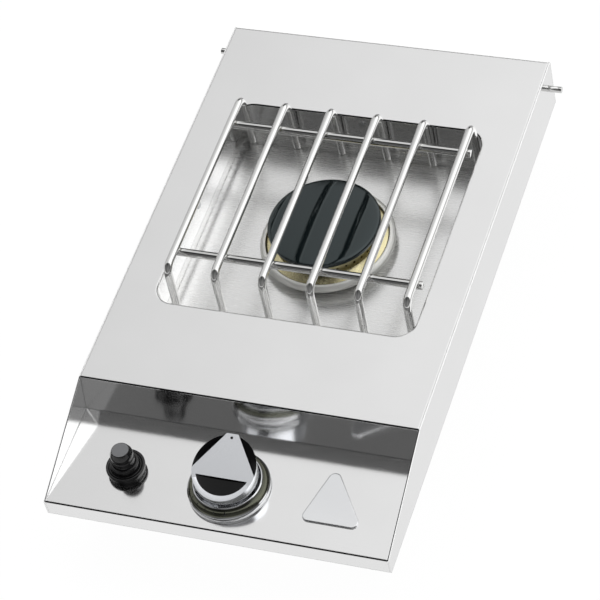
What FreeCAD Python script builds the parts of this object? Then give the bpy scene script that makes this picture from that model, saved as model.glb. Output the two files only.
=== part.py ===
import FreeCAD
import Part
import Sketcher
import math
import os
from FreeCAD import Placement, Rotation, Vector

# Built in side burner: a drop-in gas burner for an outdoor counter.
# X runs to the right, Y to the rear, Z up. The origin is the centre of the
# footprint at the bottom of the burner box, and all lengths are millimetres.

os.makedirs("parts", exist_ok=True)
doc = FreeCAD.newDocument("side_burner")
sheet_sizes = doc.addObject("Spreadsheet::Sheet", "sizes")
pieces = []


class Size:
    """A number that also keeps the formula that gives it from the spreadsheet."""

    def __init__(self, value, text=None):
        self.value = float(value)
        self.text = text if text is not None else repr(float(value))

    def join(self, sign, other, flip=False):
        other = other if isinstance(other, Size) else Size(other)
        left, right = (other, self) if flip else (self, other)
        value = {"+": left.value + right.value, "-": left.value - right.value,
                 "*": left.value * right.value}.get(sign)
        if value is None:
            value = left.value / right.value
        return Size(value, f"({left.text} {sign} {right.text})")

    def __add__(self, other):
        return self.join("+", other)

    def __radd__(self, other):
        return self.join("+", other, True)

    def __sub__(self, other):
        return self.join("-", other)

    def __rsub__(self, other):
        return self.join("-", other, True)

    def __mul__(self, other):
        return self.join("*", other)

    def __rmul__(self, other):
        return self.join("*", other, True)

    def __truediv__(self, other):
        return self.join("/", other)

    def __neg__(self):
        return Size(-self.value, f"(-1 * {self.text})")


def root(area):
    """The square root of a Size, with its formula."""
    return Size(math.sqrt(area.value), f"sqrt({area.text})")


def size(alias, value):
    """Put one driving size in the spreadsheet and return it."""
    row = len(sheet_sizes.getUsedCells()) // 2 + 1
    sheet_sizes.set(f"A{row}", "'" + alias.replace("_", " "))
    sheet_sizes.set(f"B{row}", str(value))
    sheet_sizes.setAlias(f"B{row}", alias)
    return Size(value, f"sizes.{alias}")


# Driving sizes of the casing
overall_width = size("overall_width", 330)
overall_depth = size("overall_depth", 570)
shelf_depth = size("shelf_depth", 116)
skirt_height = size("skirt_height", 56)
shelf_drop = size("shelf_drop", 38)
riser_lean = size("riser_lean", 8.3)
box_depth = size("box_depth", 58)
steel = size("steel_thickness", 1.6)
fold_radius = size("fold_radius", 1.5)
hem_width = size("hem_width", 15)
box_steel = size("box_steel_thickness", 1)
box_width = size("box_width", 286)
box_setback = size("box_setback", 17)
box_slope_height = size("box_slope_height", 33)
box_slope_run = size("box_slope_run", 23)
shelf_tuck = size("shelf_tuck_under_deck", 8)
tie_hole_radius = size("tie_hole_radius", 3)
tie_hole_spacing = size("tie_hole_spacing", 360)
tie_hole_height = size("tie_hole_height", 46)
tie_hole_shift = size("tie_hole_shift", 50)
hole_gap = size("hole_gap", 0.2)
slot_pitch = size("slot_pitch", 34)
slot_width = size("slot_width", 6)
slot_height = size("slot_height", 24)
slot_z = size("slot_height_above_bottom", 10)

# Driving sizes of the well
well_side_room = size("well_side_room", 15.5)
well_depth = size("well_length", 256)
well_setback = size("well_setback", 100)
well_corner = size("well_corner_radius", 19)
well_lip = size("well_lip_depth", 33)
well_floor_drop = size("well_floor_drop", 47)
pan_steel = size("pan_steel_thickness", 1.2)
pan_gap = size("pan_gap", 0.4)
pan_top_gap = size("pan_top_gap", 2)
pan_screw_drop = size("pan_screw_drop", 9.6)
screw_radius = size("screw_shank_radius", 2)
screw_head_radius = size("screw_head_radius", 3.4)
screw_head_height = size("screw_head_height", 1.6)
pan_shank = size("pan_screw_length", 7)

# Driving sizes of the grate
rod_diameter = size("rod_diameter", 8)
rod_side_gap = size("rod_side_gap", 5.75)
rod_count = 6
rod_rise = size("rod_rise", 18)
rod_bend = size("rod_bend_radius", 9)
grate_front_gap = size("grate_front_gap", 19.65)
leg_lean = size("leg_lean_angle", 2.2)
grate_wall_gap = size("grate_wall_gap", 3.45)
cross_span = size("cross_rod_span", 165)
cross_end_gap = size("cross_rod_end_gap", 3)
seat_gap = size("seat_gap", 0.3)

# Driving sizes of the burner
burner_shift = size("burner_shift", 2.5)
cap_radius = size("cap_radius", 54.6)
cap_drop = size("cap_drop", 12.5)
cap_edge = size("cap_edge_height", 5)
cap_dome = size("cap_dome_height", 2.5)
cap_collar_depth = size("cap_collar_depth", 4)
ring_wall_radius = size("ring_wall_radius", 49.5)
ring_ledge_gap = size("ring_ledge_gap", 1.2)
ring_root = size("ring_root_width", 1)
ring_bore = size("ring_bore_radius", 40)
port_radius = size("port_radius", 1.3)
port_count = 36
drip_outer = size("drip_ring_outer_radius", 66.4)
drip_width = size("drip_ring_width", 6.2)
drip_shoulder = size("drip_ring_shoulder_height", 9)
drip_top = size("drip_ring_top_height", 14)
bowl_radius = size("bowl_radius", 47.5)
bowl_flange = size("bowl_flange_radius", 56)
bowl_flange_height = size("bowl_flange_height", 2.5)
bowl_depth = size("bowl_depth", 48)
bowl_wall = size("bowl_wall", 3)
mixer_radius = size("mixer_radius", 12.7)
mixer_wall = size("mixer_wall", 1.2)
mixer_throat = size("mixer_throat_radius", 8.5)
jet_overlap = size("jet_tip_overlap", 3)
running_gap = size("running_gap", 0.06)
shutter_wall = size("shutter_wall", 1)
shutter_length = size("shutter_length", 22)
electrode_gap = size("electrode_gap", 5.6)
ceramic_radius = size("ceramic_radius", 3.5)
drip_wall = size("drip_ring_wall", 1)
drip_bead = size("drip_ring_bead", 1.6)
drip_lip = size("drip_ring_lip", 4)
drip_undercut = size("drip_ring_undercut", 7.9)
bowl_rim = size("bowl_rim_height", 5)
bowl_chamfer = size("bowl_chamfer", 8)
bowl_boss_radius = size("bowl_boss_radius", 16)
bowl_boss_length = size("bowl_boss_length", 6)
burner_screw_length = size("burner_screw_length", 8)
ring_ledge_low = size("ring_ledge_low", 9.5)
ring_ledge_high = size("ring_ledge_high", 12)
ring_ledge_inner = size("ring_ledge_inner_height", 16)
ring_skirt = size("ring_skirt_depth", 3)
ring_foot = size("ring_foot_radius", 53)
port_height = size("port_height", 21)
cap_dome_rim = size("cap_dome_rim_radius", 47)
cap_rim_rise = size("cap_rim_rise", 1.1)
cap_crown_radius = size("cap_crown_radius", 28)
cap_crown_drop = size("cap_crown_drop", 0.4)
cap_shoulder = size("cap_shoulder", 0.7)
cap_collar_inner = size("cap_collar_inner_radius", 36)
mouth_radius = size("mixer_mouth_radius", 14)
mouth_length = size("mixer_mouth_length", 24)
throat_start = size("mixer_throat_start", 45)
throat_end = size("mixer_throat_end", 62)
diffuser_end = size("mixer_diffuser_end", 140)
shutter_face = size("shutter_face_gap", 1.2)
jet_hole = size("jet_hole_radius", 6)
window_width = size("air_window_width", 13)
window_low = size("air_window_low", 4)
window_high = size("air_window_high", 16)
ceramic_drop = size("ceramic_drop_below_pan", 23)
ceramic_rise = size("ceramic_rise_above_pan", 10)
ceramic_collar = size("ceramic_collar_radius", 5)
ceramic_collar_height = size("ceramic_collar_height", 2)
ceramic_clip = size("ceramic_clip_radius", 7)
ceramic_clip_height = size("ceramic_clip_height", 0.8)
pin_radius = size("electrode_pin_radius", 0.9)
pin_corner_rise = size("electrode_pin_corner_rise", 11.2)
pin_tip_rise = size("electrode_pin_tip_rise", 23.5)
pin_reach = size("electrode_pin_reach", 53.5)
pin_bend = size("electrode_pin_bend", 2)

# Driving sizes of the control row
control_setback = size("control_row_setback", 48)
igniter_x = size("igniter_x", -100)
valve_drop = size("valve_drop", 34)
valve_width = size("valve_width", 32)
valve_depth = size("valve_depth", 34)
valve_height = size("valve_height", 30)
bonnet_flange = size("bonnet_flange_height", 3)
bonnet_radius = size("bonnet_radius", 11)
bonnet_screw_inset = size("bonnet_screw_inset", 4)
bonnet_screw_depth = size("bonnet_screw_hole_depth", 8)
bonnet_screw_grip = size("bonnet_screw_grip", 7)
neck_height = size("valve_neck_height", 7.4)
plug_seat_drop = size("valve_plug_seat_drop", 12)
plug_rise = size("valve_plug_top_rise", 9)
collar_rise = size("stem_collar_rise", 22)
collar_thickness = size("stem_collar_thickness", 2)
collar_radius = size("stem_collar_radius", 6.6)
tang_width = size("stem_tang_width", 5)
tang_drop = size("stem_tang_drop", 1)
tang_pit_gap = size("plug_pit_gap", 2)
stem_reach = size("stem_reach_in_knob", 10.1)
stem_flat = size("stem_flat", 3)
spring_outer = size("valve_spring_outer_radius", 6.4)
spring_inner = size("valve_spring_inner_radius", 4.6)
gas_way = size("gas_passage_radius", 2.2)
inlet_boss = size("inlet_boss_length", 10)
jet_socket = size("jet_socket_depth", 6)
jet_thread = size("jet_thread_radius", 4)
jet_hex = size("jet_hexagon_width", 11)
jet_hex_length = size("jet_hexagon_length", 5)
jet_tip_radius = size("jet_tip_radius", 3.5)
jet_reach = size("jet_tip_reach", 34)
jet_orifice = size("jet_orifice_radius", 0.6)
nut_width = size("valve_nut_width", 22)
nut_height = size("valve_nut_height", 3)
stem_radius = size("stem_radius", 4)
plug_radius = size("plug_radius", 7)
knob_radius = size("knob_radius", 29.3)
knob_bezel_gap = size("knob_bezel_gap", 1.6)
knob_top_radius = size("knob_top_radius", 30.4)
knob_column_gap = size("knob_column_gap", 2.4)
knob_scoop_depth = size("knob_scoop_depth", 2.5)
knob_scoop_radius = size("knob_scoop_radius", 25.3)
knob_side_x = size("knob_side_corner_x", 30.3)
knob_side_back = size("knob_side_corner_back", 3.4)
knob_front_x = size("knob_front_corner_x", 24.5)
knob_front_back = size("knob_front_corner_back", 8.6)
knob_cavity_radius = size("knob_cavity_radius", 25)
knob_clip_room = size("knob_clip_room", 0.7)
knob_hub_radius = size("knob_hub_radius", 8)
knob_hub_recess = size("knob_hub_recess", 0.4)
knob_dot_radius = size("knob_dot_radius", 1.3)
knob_dot_depth = size("knob_dot_depth", 1)
knob_dot_reach = size("knob_dot_reach", 27.8)
knob_clip_height = size("knob_clip_height", 3)
knob_clip_slot = size("knob_clip_slot", 2)
knob_clip_wall = size("knob_clip_wall", 1)
knob_side_rise = size("knob_side_height", 13.4)
knob_tip_rise = size("knob_tip_height", 25.3)
knob_tip_radius = size("knob_tip_radius", 31.5)
knob_tip_width = size("knob_tip_width", 11)
knob_back = size("knob_side_back", 6.6)
knob_travel = size("knob_travel", 3)
bezel_radius = size("bezel_radius", 38.3)
bezel_inner = size("bezel_inner_radius", 30.8)
bezel_height = size("bezel_height", 12)
bezel_rim = size("bezel_rim_height", 4.5)
bezel_floor = size("bezel_floor_height", 3)
bezel_crest = size("bezel_crest_width", 0.8)
igniter_collar_radius = size("igniter_collar_radius", 17)
igniter_collar_height = size("igniter_collar_height", 1.6)
igniter_cap_radius = size("igniter_cap_radius", 18.2)
igniter_cap_height = size("igniter_cap_height", 6.6)
igniter_button_radius = size("igniter_button_radius", 10.6)
igniter_button_top = size("igniter_button_top_radius", 7.8)
igniter_height = size("igniter_height", 31)
igniter_travel = size("igniter_travel", 2)
igniter_neck = size("igniter_neck_radius", 11)
igniter_body_radius = size("igniter_body_radius", 13.5)
igniter_body_length = size("igniter_body_length", 46.4)
battery_radius = size("battery_radius", 5.25)
battery_length = size("battery_length", 44.5)
igniter_bottom = size("igniter_bottom_thickness", 2)
igniter_cap_round = size("igniter_cap_round", 1.2)
igniter_skirt_step = size("igniter_cap_skirt_step", 1.2)
igniter_rim = size("igniter_cap_rim_height", 3.6)
igniter_throat_wall = size("igniter_cap_throat_wall", 3.4)
igniter_throat = size("igniter_cap_throat_height", 6)
igniter_lip = size("igniter_cap_lip_height", 1.2)
igniter_chamber_gap = size("igniter_chamber_gap", 0.4)
igniter_flange = size("igniter_button_flange_radius", 13.6)
igniter_flange_height = size("igniter_button_flange_height", 1.2)
igniter_shoulder = size("igniter_button_shoulder_height", 26)
igniter_spring_wire = size("igniter_spring_wire", 1.1)
igniter_crown = size("igniter_button_crown", 1)
badge_thickness = size("badge_thickness", 1.6)
valve_neck = size("valve_neck_radius", 8)
badge_left_x = size("badge_left_x", 73)
badge_right_x = size("badge_right_x", 132.5)
badge_apex_x = size("badge_apex_x", 89.5)
badge_setback = size("badge_setback", 26.2)
badge_depth = size("badge_depth", 62.8)
badge_corner = size("badge_corner_radius", 6)
badge_post = size("badge_post_radius", 1.5)
badge_post_inset = size("badge_post_inset", 12)
badge_post_pitch = size("badge_post_pitch", 22)
badge_edge = size("badge_edge_round", 0.5)

# Driving sizes of the supply and the lid pins
pipe_radius = size("pipe_radius", 4.76)
pipe_wall = size("pipe_wall", 0.9)
pipe_x = size("pipe_x", -66)
pipe_bend = size("pipe_bend_radius", 22)
flare_radius = size("flare_radius", 7.94)
flare_length = size("flare_length", 11)
flare_mouth = size("flare_mouth_radius", 5)
flare_bore = size("flare_bore_radius", 3.8)
fitting_hex = size("fitting_hexagon_width", 20)
fitting_hex_length = size("fitting_hexagon_length", 5)
fitting_thread = size("fitting_thread_radius", 7)
pipe_nut_length = size("pipe_nut_length", 16)
pipe_nut_overlap = size("pipe_nut_overlap", 6)
locknut_width = size("locknut_width", 22)
locknut_height = size("locknut_height", 3)
lid_pin_radius = size("lid_pin_radius", 3.175)
lid_pin_length = size("lid_pin_length", 13.5)
lid_pin_setback = size("lid_pin_setback", 15)
lid_pin_drop = size("lid_pin_drop", 21.6)
lid_pin_thread = size("lid_pin_thread_radius", 2.4)
lid_pin_inside = size("lid_pin_inside_length", 7)
lid_nut_width = size("lid_nut_width", 8)
lid_nut_height = size("lid_nut_height", 3)
badge_post_length = size("badge_post_length", 6)
badge_nut_radius = size("badge_nut_radius", 4)
badge_nut_height = size("badge_nut_height", 1.2)
lead_radius = size("lead_radius", 1.6)
lead_height = size("lead_height", 7)
lead_bend = size("lead_bend_radius", 12)
clip_width = size("lead_clip_width", 9)
clip_length = size("lead_clip_length", 6)
clip_height = size("lead_clip_height", 10)
clip_start = size("lead_clip_start", 50)
clip_pitch = size("lead_clip_pitch", 90)

# Places worked out from the driving sizes
half_width = overall_width / 2
front_y = -overall_depth / 2
rear_y = overall_depth / 2
deck_front_y = front_y + shelf_depth
skirt_z = box_depth
deck_z = box_depth + skirt_height
shelf_z = deck_z - shelf_drop
deck_under = deck_z - steel
shelf_under = shelf_z - steel
floor_z = deck_z - well_floor_drop
well_width = box_width - well_side_room * 2
well_left = -well_width / 2
well_right = well_width / 2
well_rear = rear_y - well_setback
well_front = well_rear - well_depth
well_centre_y = well_rear - well_depth / 2
box_half = box_width / 2
box_front_y = front_y + box_setback
box_rear_y = rear_y - box_setback
box_foot_y = box_front_y + box_slope_run
foot_span = well_depth - rod_diameter - grate_wall_gap - grate_front_gap
grate_y = well_rear - rod_diameter / 2 - grate_wall_gap - foot_span / 2
rod_pitch = (well_width - rod_diameter - rod_side_gap * 2) / (rod_count - 1)
cross_length = well_width - cross_end_gap * 2
burner_y = well_centre_y + burner_shift
drip_inner = drip_outer - drip_width
ring_ledge_radius = drip_inner - ring_ledge_gap
electrode_reach = drip_outer + electrode_gap
control_y = front_y + control_setback
jet_tip_y = control_y + jet_reach
mixer_mouth_y = jet_tip_y - jet_overlap
badge_front_y = front_y + badge_setback
badge_apex_y = badge_front_y + badge_depth
lid_pin_y = rear_y - lid_pin_setback
tang_pit_drop = tang_drop + knob_travel + tang_pit_gap
knob_lift = bezel_height + knob_bezel_gap
knob_side_height = knob_lift + knob_side_rise
knob_tip_height = knob_lift + knob_tip_rise
knob_column_start = bezel_height + knob_travel + knob_column_gap
knob_hub_start = knob_lift + knob_hub_recess
knob_cavity_height = knob_hub_start + seat_gap + knob_clip_height + knob_clip_room
stem_rise = knob_lift + stem_reach
rod_z = deck_z + rod_rise
valve_z = shelf_z - valve_drop
inner_half = half_width - steel


def bind(thing, prop, length):
    """Tie a property to its formula."""
    thing.setExpression(prop, length.text)


def place(thing, x=None, y=None, z=None, turn=None):
    """Put a piece at x, y, z, turned by (axis, degrees), with the place tied to the sheet."""
    if turn:
        thing.Placement = Placement(Vector(), Rotation(Vector(*turn[0]), turn[1]))
    for axis, length in (("x", x), ("y", y), ("z", z)):
        if length is not None:
            bind(thing, f"Placement.Base.{axis}", length)
    return thing


def keep(thing, label):
    """Name a finished piece and list it for export."""
    thing.Label = label
    pieces.append(thing)
    return thing


def as_size(length):
    return length if isinstance(length, Size) else Size(length)


# Sketches and features of PartDesign bodies


def new_body(label):
    return doc.addObject("PartDesign::Body", label)


def new_sketch(body, role, lift=0):
    """A sketch on one of the body's own origin planes, lifted along its normal."""
    sketch = body.newObject("Sketcher::SketchObject", body.Name + "_sketch")
    plane = [item for item in body.Origin.OriginFeatures if item.Role == role][0]
    sketch.AttachmentSupport = [(plane, "")]
    sketch.MapMode = "FlatFace"
    bind(sketch, "AttachmentOffset.Base.z", as_size(lift))
    return sketch


def pin_point(sketch, geometry, point, x, y):
    """Fix one point of a sketch at formulas x, y from the sketch's origin."""
    for kind, length in (("DistanceX", as_size(x)), ("DistanceY", as_size(y))):
        index = sketch.addConstraint(Sketcher.Constraint(kind, -1, 1, geometry, point, length.value))
        sketch.setExpression(f"Constraints[{index}]", length.text)


def add_circle(sketch, x, y, radius):
    x, y, radius = as_size(x), as_size(y), as_size(radius)
    circle = sketch.addGeometry(Part.Circle(Vector(x.value, y.value, 0), Vector(0, 0, 1), radius.value))
    pin_point(sketch, circle, 3, x, y)
    index = sketch.addConstraint(Sketcher.Constraint("Radius", circle, radius.value))
    sketch.setExpression(f"Constraints[{index}]", radius.text)


def add_polygon(sketch, corners):
    """A closed outline of straight lines through corners given as formulas."""
    points = [(as_size(x), as_size(y)) for x, y in corners]
    flat = [Vector(x.value, y.value, 0) for x, y in points]
    lines = [sketch.addGeometry(Part.LineSegment(flat[i], flat[(i + 1) % len(flat)]))
             for i in range(len(flat))]
    for i, line in enumerate(lines):
        sketch.addConstraint(Sketcher.Constraint("Coincident", line, 2, lines[(i + 1) % len(lines)], 1))
        pin_point(sketch, line, 1, *points[i])


def add_round_rectangle(sketch, x0, x1, y0, y1, radius):
    """A rectangle whose corners are quarter circles."""
    x0, x1, y0, y1, radius = [as_size(item) for item in (x0, x1, y0, y1, radius)]
    centres = ((x1 - radius, y0 + radius, -90), (x1 - radius, y1 - radius, 0),
               (x0 + radius, y1 - radius, 90), (x0 + radius, y0 + radius, 180))
    arcs = []
    for x, y, start in centres:
        circle = Part.Circle(Vector(x.value, y.value, 0), Vector(0, 0, 1), radius.value)
        arc = sketch.addGeometry(Part.ArcOfCircle(circle, math.radians(start), math.radians(start + 90)))
        pin_point(sketch, arc, 3, x, y)
        index = sketch.addConstraint(Sketcher.Constraint("Radius", arc, radius.value))
        sketch.setExpression(f"Constraints[{index}]", radius.text)
        level_first = start in (0, 180)
        for point in (1, 2):
            kind = "Horizontal" if (point == 1) == level_first else "Vertical"
            sketch.addConstraint(Sketcher.Constraint(kind, arc, point, arc, 3))
        arcs.append(arc)
    for i, arc in enumerate(arcs):
        following = arcs[(i + 1) % 4]
        start, end = sketch.getPoint(arc, 2), sketch.getPoint(following, 1)
        line = sketch.addGeometry(Part.LineSegment(start, end))
        sketch.addConstraint(Sketcher.Constraint("Coincident", line, 1, arc, 2))
        sketch.addConstraint(Sketcher.Constraint("Coincident", line, 2, following, 1))


def pad(body, sketch, length, midplane=False, reverse=False):
    feature = body.newObject("PartDesign::Pad", body.Name + "_pad")
    feature.Profile = sketch
    feature.Midplane = midplane
    feature.Reversed = reverse
    bind(feature, "Length", as_size(length))
    doc.recompute()
    return feature


def pocket(body, sketch, length=None, midplane=False, reverse=False):
    """Cut a sketch out of a body, to a depth or right through, and prove that it cut."""
    doc.recompute()
    before = body.Shape.Volume
    feature = body.newObject("PartDesign::Pocket", body.Name + "_pocket")
    feature.Profile = sketch
    feature.Midplane = midplane
    feature.Reversed = reverse
    if length is None:
        feature.Type = "ThroughAll"
    else:
        bind(feature, "Length", as_size(length))
    doc.recompute()
    if body.Shape.Volume > before - 0.01:
        raise RuntimeError(body.Label + ": a pocket cut nothing")
    return feature


def fillet(body, radius, wanted):
    """Round the edges of the body's last shape for which wanted(edge) is true."""
    doc.recompute()
    base = body.Tip
    names = [f"Edge{i + 1}" for i, edge in enumerate(base.Shape.Edges) if wanted(edge)]
    if not names:
        raise RuntimeError(body.Label + ": no edge to round")
    feature = body.newObject("PartDesign::Fillet", body.Name + "_fillet")
    feature.Base = (base, names)
    bind(feature, "Radius", as_size(radius))
    doc.recompute()
    return feature


def along(edge, axis, **near):
    """True for a straight edge parallel to axis whose middle lies at the given coordinates."""
    if edge.Curve.TypeId != "Part::GeomLine":
        return False
    direction = edge.Curve.Direction
    if abs(getattr(direction, axis)) < 0.999:
        return False
    middle = edge.CenterOfMass
    return all(abs(getattr(middle, key) - as_size(value).value) < 0.05 for key, value in near.items())


def revolve(label, corners, turn=None, x=0, y=0, z=0):
    """A turned piece: the outline (radius, height) spun about its own axis, then placed."""
    body = new_body(label)
    sketch = new_sketch(body, "XZ_Plane")
    add_polygon(sketch, corners)
    feature = body.newObject("PartDesign::Revolution", label + "_turn")
    feature.Profile = sketch
    feature.ReferenceAxis = (sketch, ["V_Axis"])
    feature.Angle = 360
    place(body, as_size(x), as_size(y), as_size(z), turn)
    doc.recompute()
    return keep(body, label)


# Primitives and booleans


def block(x0, x1, y0, y1, z0, z1):
    """A box between two corners given as formulas."""
    box = doc.addObject("Part::Box", "block")
    spans = (("x", "Length", x0, x1), ("y", "Width", y0, y1), ("z", "Height", z0, z1))
    for axis, prop, low, high in spans:
        low, high = as_size(low), as_size(high)
        bind(box, prop, high - low)
        bind(box, f"Placement.Base.{axis}", low)
    return box


TURNS = {"z": None, "x": ((0, 1, 0), 90), "y": ((1, 0, 0), -90)}


def cylinder(axis, x, y, z, radius, length):
    """A cylinder that starts at x, y, z and runs along the named axis."""
    round_bar = doc.addObject("Part::Cylinder", "cylinder")
    bind(round_bar, "Radius", as_size(radius))
    bind(round_bar, "Height", as_size(length))
    return place(round_bar, as_size(x), as_size(y), as_size(z), TURNS[axis])


def hexagon(axis, x, y, z, across, length):
    """A hexagon bar of the given width across its flats."""
    bar = doc.addObject("Part::Prism", "hexagon")
    bar.Polygon = 6
    bind(bar, "Circumradius", as_size(across) / math.sqrt(3))
    bind(bar, "Height", as_size(length))
    return place(bar, as_size(x), as_size(y), as_size(z), TURNS[axis])


def fuse(label, parts):
    joined = doc.addObject("Part::MultiFuse", label)
    joined.Shapes = parts
    joined.Refine = True
    return joined


def cut(label, base, tools):
    tool = tools[0] if len(tools) == 1 else fuse(label + "_tools", tools)
    result = doc.addObject("Part::Cut", label)
    result.Base = base
    result.Tool = tool
    return result


def group(label, parts):
    """Like fasteners that share one node as separate solids."""
    together = doc.addObject("Part::Compound", label)
    together.Links = parts
    return keep(together, label)


def tube_shape(points, radius, bend, bore=None):
    """A bent tube: straight runs through points, joined by tangent arcs of the bend radius."""
    corners = [Vector(*point) for point in points]
    edges = []
    start = corners[0]
    for i in range(1, len(corners) - 1):
        back = (corners[i - 1] - corners[i]).normalize()
        ahead = (corners[i + 1] - corners[i]).normalize()
        turn = math.pi - back.getAngle(ahead)
        reach = bend * math.tan(turn / 2)
        first = corners[i] + back * reach
        last = corners[i] + ahead * reach
        middle_way = (back + ahead).normalize()
        centre = corners[i] + middle_way * (bend / math.cos(turn / 2))
        edges.append(Part.LineSegment(start, first).toShape())
        edges.append(Part.Arc(first, centre - middle_way * bend, last).toShape())
        start = last
    edges.append(Part.LineSegment(start, corners[-1]).toShape())
    path = Part.Wire(edges)
    normal = corners[1] - corners[0]
    solids = []
    for size_of_circle in (radius, bore):
        if size_of_circle:
            circle = Part.Wire([Part.Circle(corners[0], normal, size_of_circle).toShape()])
            solids.append(path.makePipeShell([circle], True, False, 2))
    shape = solids[0] if len(solids) == 1 else solids[0].cut(solids[1])
    print("tube", round(path.Length, 1), "mm long, volume over section times length",
          round(solids[0].Volume / (math.pi * radius ** 2 * path.Length), 4))
    return shape


def feature(label, shape):
    piece = doc.addObject("Part::Feature", label)
    piece.Shape = shape
    return keep(piece, label)


# Deck: folded top with its rear skirt and riser, the cut-out and its turned-down lip

deck = new_body("deck_panel")
skirt_section = new_sketch(deck, "YZ_Plane")
riser_foot_y = deck_front_y - riser_lean
add_polygon(skirt_section, [
    (rear_y, skirt_z), (rear_y, deck_z), (deck_front_y, deck_z), (riser_foot_y, shelf_z),
    (riser_foot_y + steel, shelf_z), (deck_front_y + steel, deck_under),
    (rear_y - steel, deck_under), (rear_y - steel, skirt_z)])
pad(deck, skirt_section, inner_half * 2, midplane=True)
lip_section = new_sketch(deck, "XY_Plane", deck_z - steel / 2)
add_round_rectangle(lip_section, well_left - steel, well_right + steel, well_front - steel,
                    well_rear + steel, well_corner + steel)
pad(deck, lip_section, well_lip - steel / 2, reverse=True)
opening = new_sketch(deck, "XY_Plane", deck_z)
add_round_rectangle(opening, well_left, well_right, well_front, well_rear, well_corner)
pocket(deck, opening, well_lip)
screw_holes = new_sketch(deck, "YZ_Plane")
add_circle(screw_holes, well_centre_y, deck_z - pan_screw_drop, screw_radius)
pocket(deck, screw_holes, well_width + steel * 3, midplane=True)
screw_holes = new_sketch(deck, "XZ_Plane", -well_centre_y)
add_circle(screw_holes, 0, deck_z - pan_screw_drop, screw_radius)
pocket(deck, screw_holes, well_depth + steel * 3, midplane=True)


def on_deck_fold(edge):
    """The long outer folds of the deck and the upper edge of the cut-out."""
    if along(edge, "x", y=deck_front_y, z=deck_z) or along(edge, "x", y=rear_y, z=deck_z):
        return True
    box = edge.BoundBox
    flat = abs(box.ZMin - deck_z.value) < 0.01 and abs(box.ZMax - deck_z.value) < 0.01
    reach = well_width.value / 2 + 0.01
    return flat and abs(box.XMax) < reach and abs(box.XMin) < reach


fillet(deck, fold_radius, on_deck_fold)
keep(deck, "deck_panel")

# Side panels: skirt with the sloping wing beside the shelf, and a hem that rests on the counter


def side_panel(label, side):
    body = new_body(label)
    outline = new_sketch(body, "YZ_Plane", half_width - steel if side > 0 else -half_width)
    add_polygon(outline, [(front_y, skirt_z), (rear_y, skirt_z), (rear_y, deck_z),
                          (deck_front_y, deck_z), (front_y, shelf_z)])
    pad(body, outline, steel)
    hem = new_sketch(body, "XY_Plane", skirt_z)
    inner, outer = inner_half - hem_width, half_width - steel / 2
    x0, x1 = (inner, outer) if side > 0 else (-outer, -inner)
    add_polygon(hem, [(x0, front_y + steel), (x1, front_y + steel), (x1, rear_y - steel),
                      (x0, rear_y - steel)])
    pad(body, hem, steel)
    face_x = half_width * side
    pins = new_sketch(body, "YZ_Plane")
    add_circle(pins, lid_pin_y, deck_z - lid_pin_drop, lid_pin_thread + running_gap)
    pocket(body, pins, overall_width + steel, midplane=True)
    slope = Vector(0, (deck_front_y - front_y).value, shelf_drop.value).normalize()

    def outer_top(edge):
        if along(edge, "y", x=face_x, z=deck_z):
            return True
        line = edge.Curve.TypeId == "Part::GeomLine" and edge.Curve.Direction
        outer = abs(edge.CenterOfMass.x - face_x.value) < 0.01
        return outer and bool(line) and abs(line.dot(slope)) > 0.999

    fillet(body, fold_radius * 0.9, outer_top)
    return keep(body, label)


side_panel("side_panel_left", -1)
side_panel("side_panel_right", 1)

# Control panel: shelf and front flange, with holes for the valve, the igniter and the badge

panel = new_body("control_panel")
shelf_rear_y = riser_foot_y + shelf_tuck
panel_section = new_sketch(panel, "YZ_Plane")
add_polygon(panel_section, [(front_y, skirt_z), (front_y, shelf_z), (shelf_rear_y, shelf_z),
                            (shelf_rear_y, shelf_under), (front_y + steel, shelf_under),
                            (front_y + steel, skirt_z)])
pad(panel, panel_section, inner_half * 2, midplane=True)
badge_post_x = (badge_left_x + badge_right_x) / 2
badge_post_ys = (badge_front_y + badge_post_inset, badge_front_y + badge_post_inset + badge_post_pitch)
panel_holes = new_sketch(panel, "XY_Plane", shelf_z)
add_circle(panel_holes, 0, control_y, valve_neck + hole_gap)
add_circle(panel_holes, igniter_x, control_y, igniter_neck + hole_gap)
for post_y in badge_post_ys:
    add_circle(panel_holes, badge_post_x, post_y, badge_post + hole_gap)
pocket(panel, panel_holes, steel * 2)
fillet(panel, fold_radius, lambda edge: along(edge, "x", y=front_y, z=shelf_z))
keep(panel, "control_panel")

# Burner box: a folded wrap with a sloping front and two side plates, which drop into the counter

wrap = new_body("box_wrap")
slope_length = root(box_slope_run * box_slope_run + box_slope_height * box_slope_height)
slope_shift = box_steel * slope_length / box_slope_height
slope_foot = box_foot_y + slope_shift - box_steel * box_slope_run / box_slope_height
slope_top = (box_slope_run + slope_shift - box_steel) * box_slope_height / box_slope_run
wrap_section = new_sketch(wrap, "YZ_Plane")
add_polygon(wrap_section, [
    (box_foot_y, 0), (box_rear_y, 0), (box_rear_y, deck_under), (box_rear_y - box_steel, deck_under),
    (box_rear_y - box_steel, box_steel), (slope_foot, box_steel),
    (box_front_y + box_steel, slope_top), (box_front_y + box_steel, shelf_under),
    (box_front_y, shelf_under), (box_front_y, box_slope_height)])
pad(wrap, wrap_section, box_width - box_steel * 2, midplane=True)
inlet_hole = new_sketch(wrap, "XZ_Plane", box_steel * 2 - box_rear_y)
add_circle(inlet_hole, pipe_x, valve_z, fitting_thread + hole_gap)
pocket(wrap, inlet_hole, box_steel * 3)
keep(wrap, "box_wrap")


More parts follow.
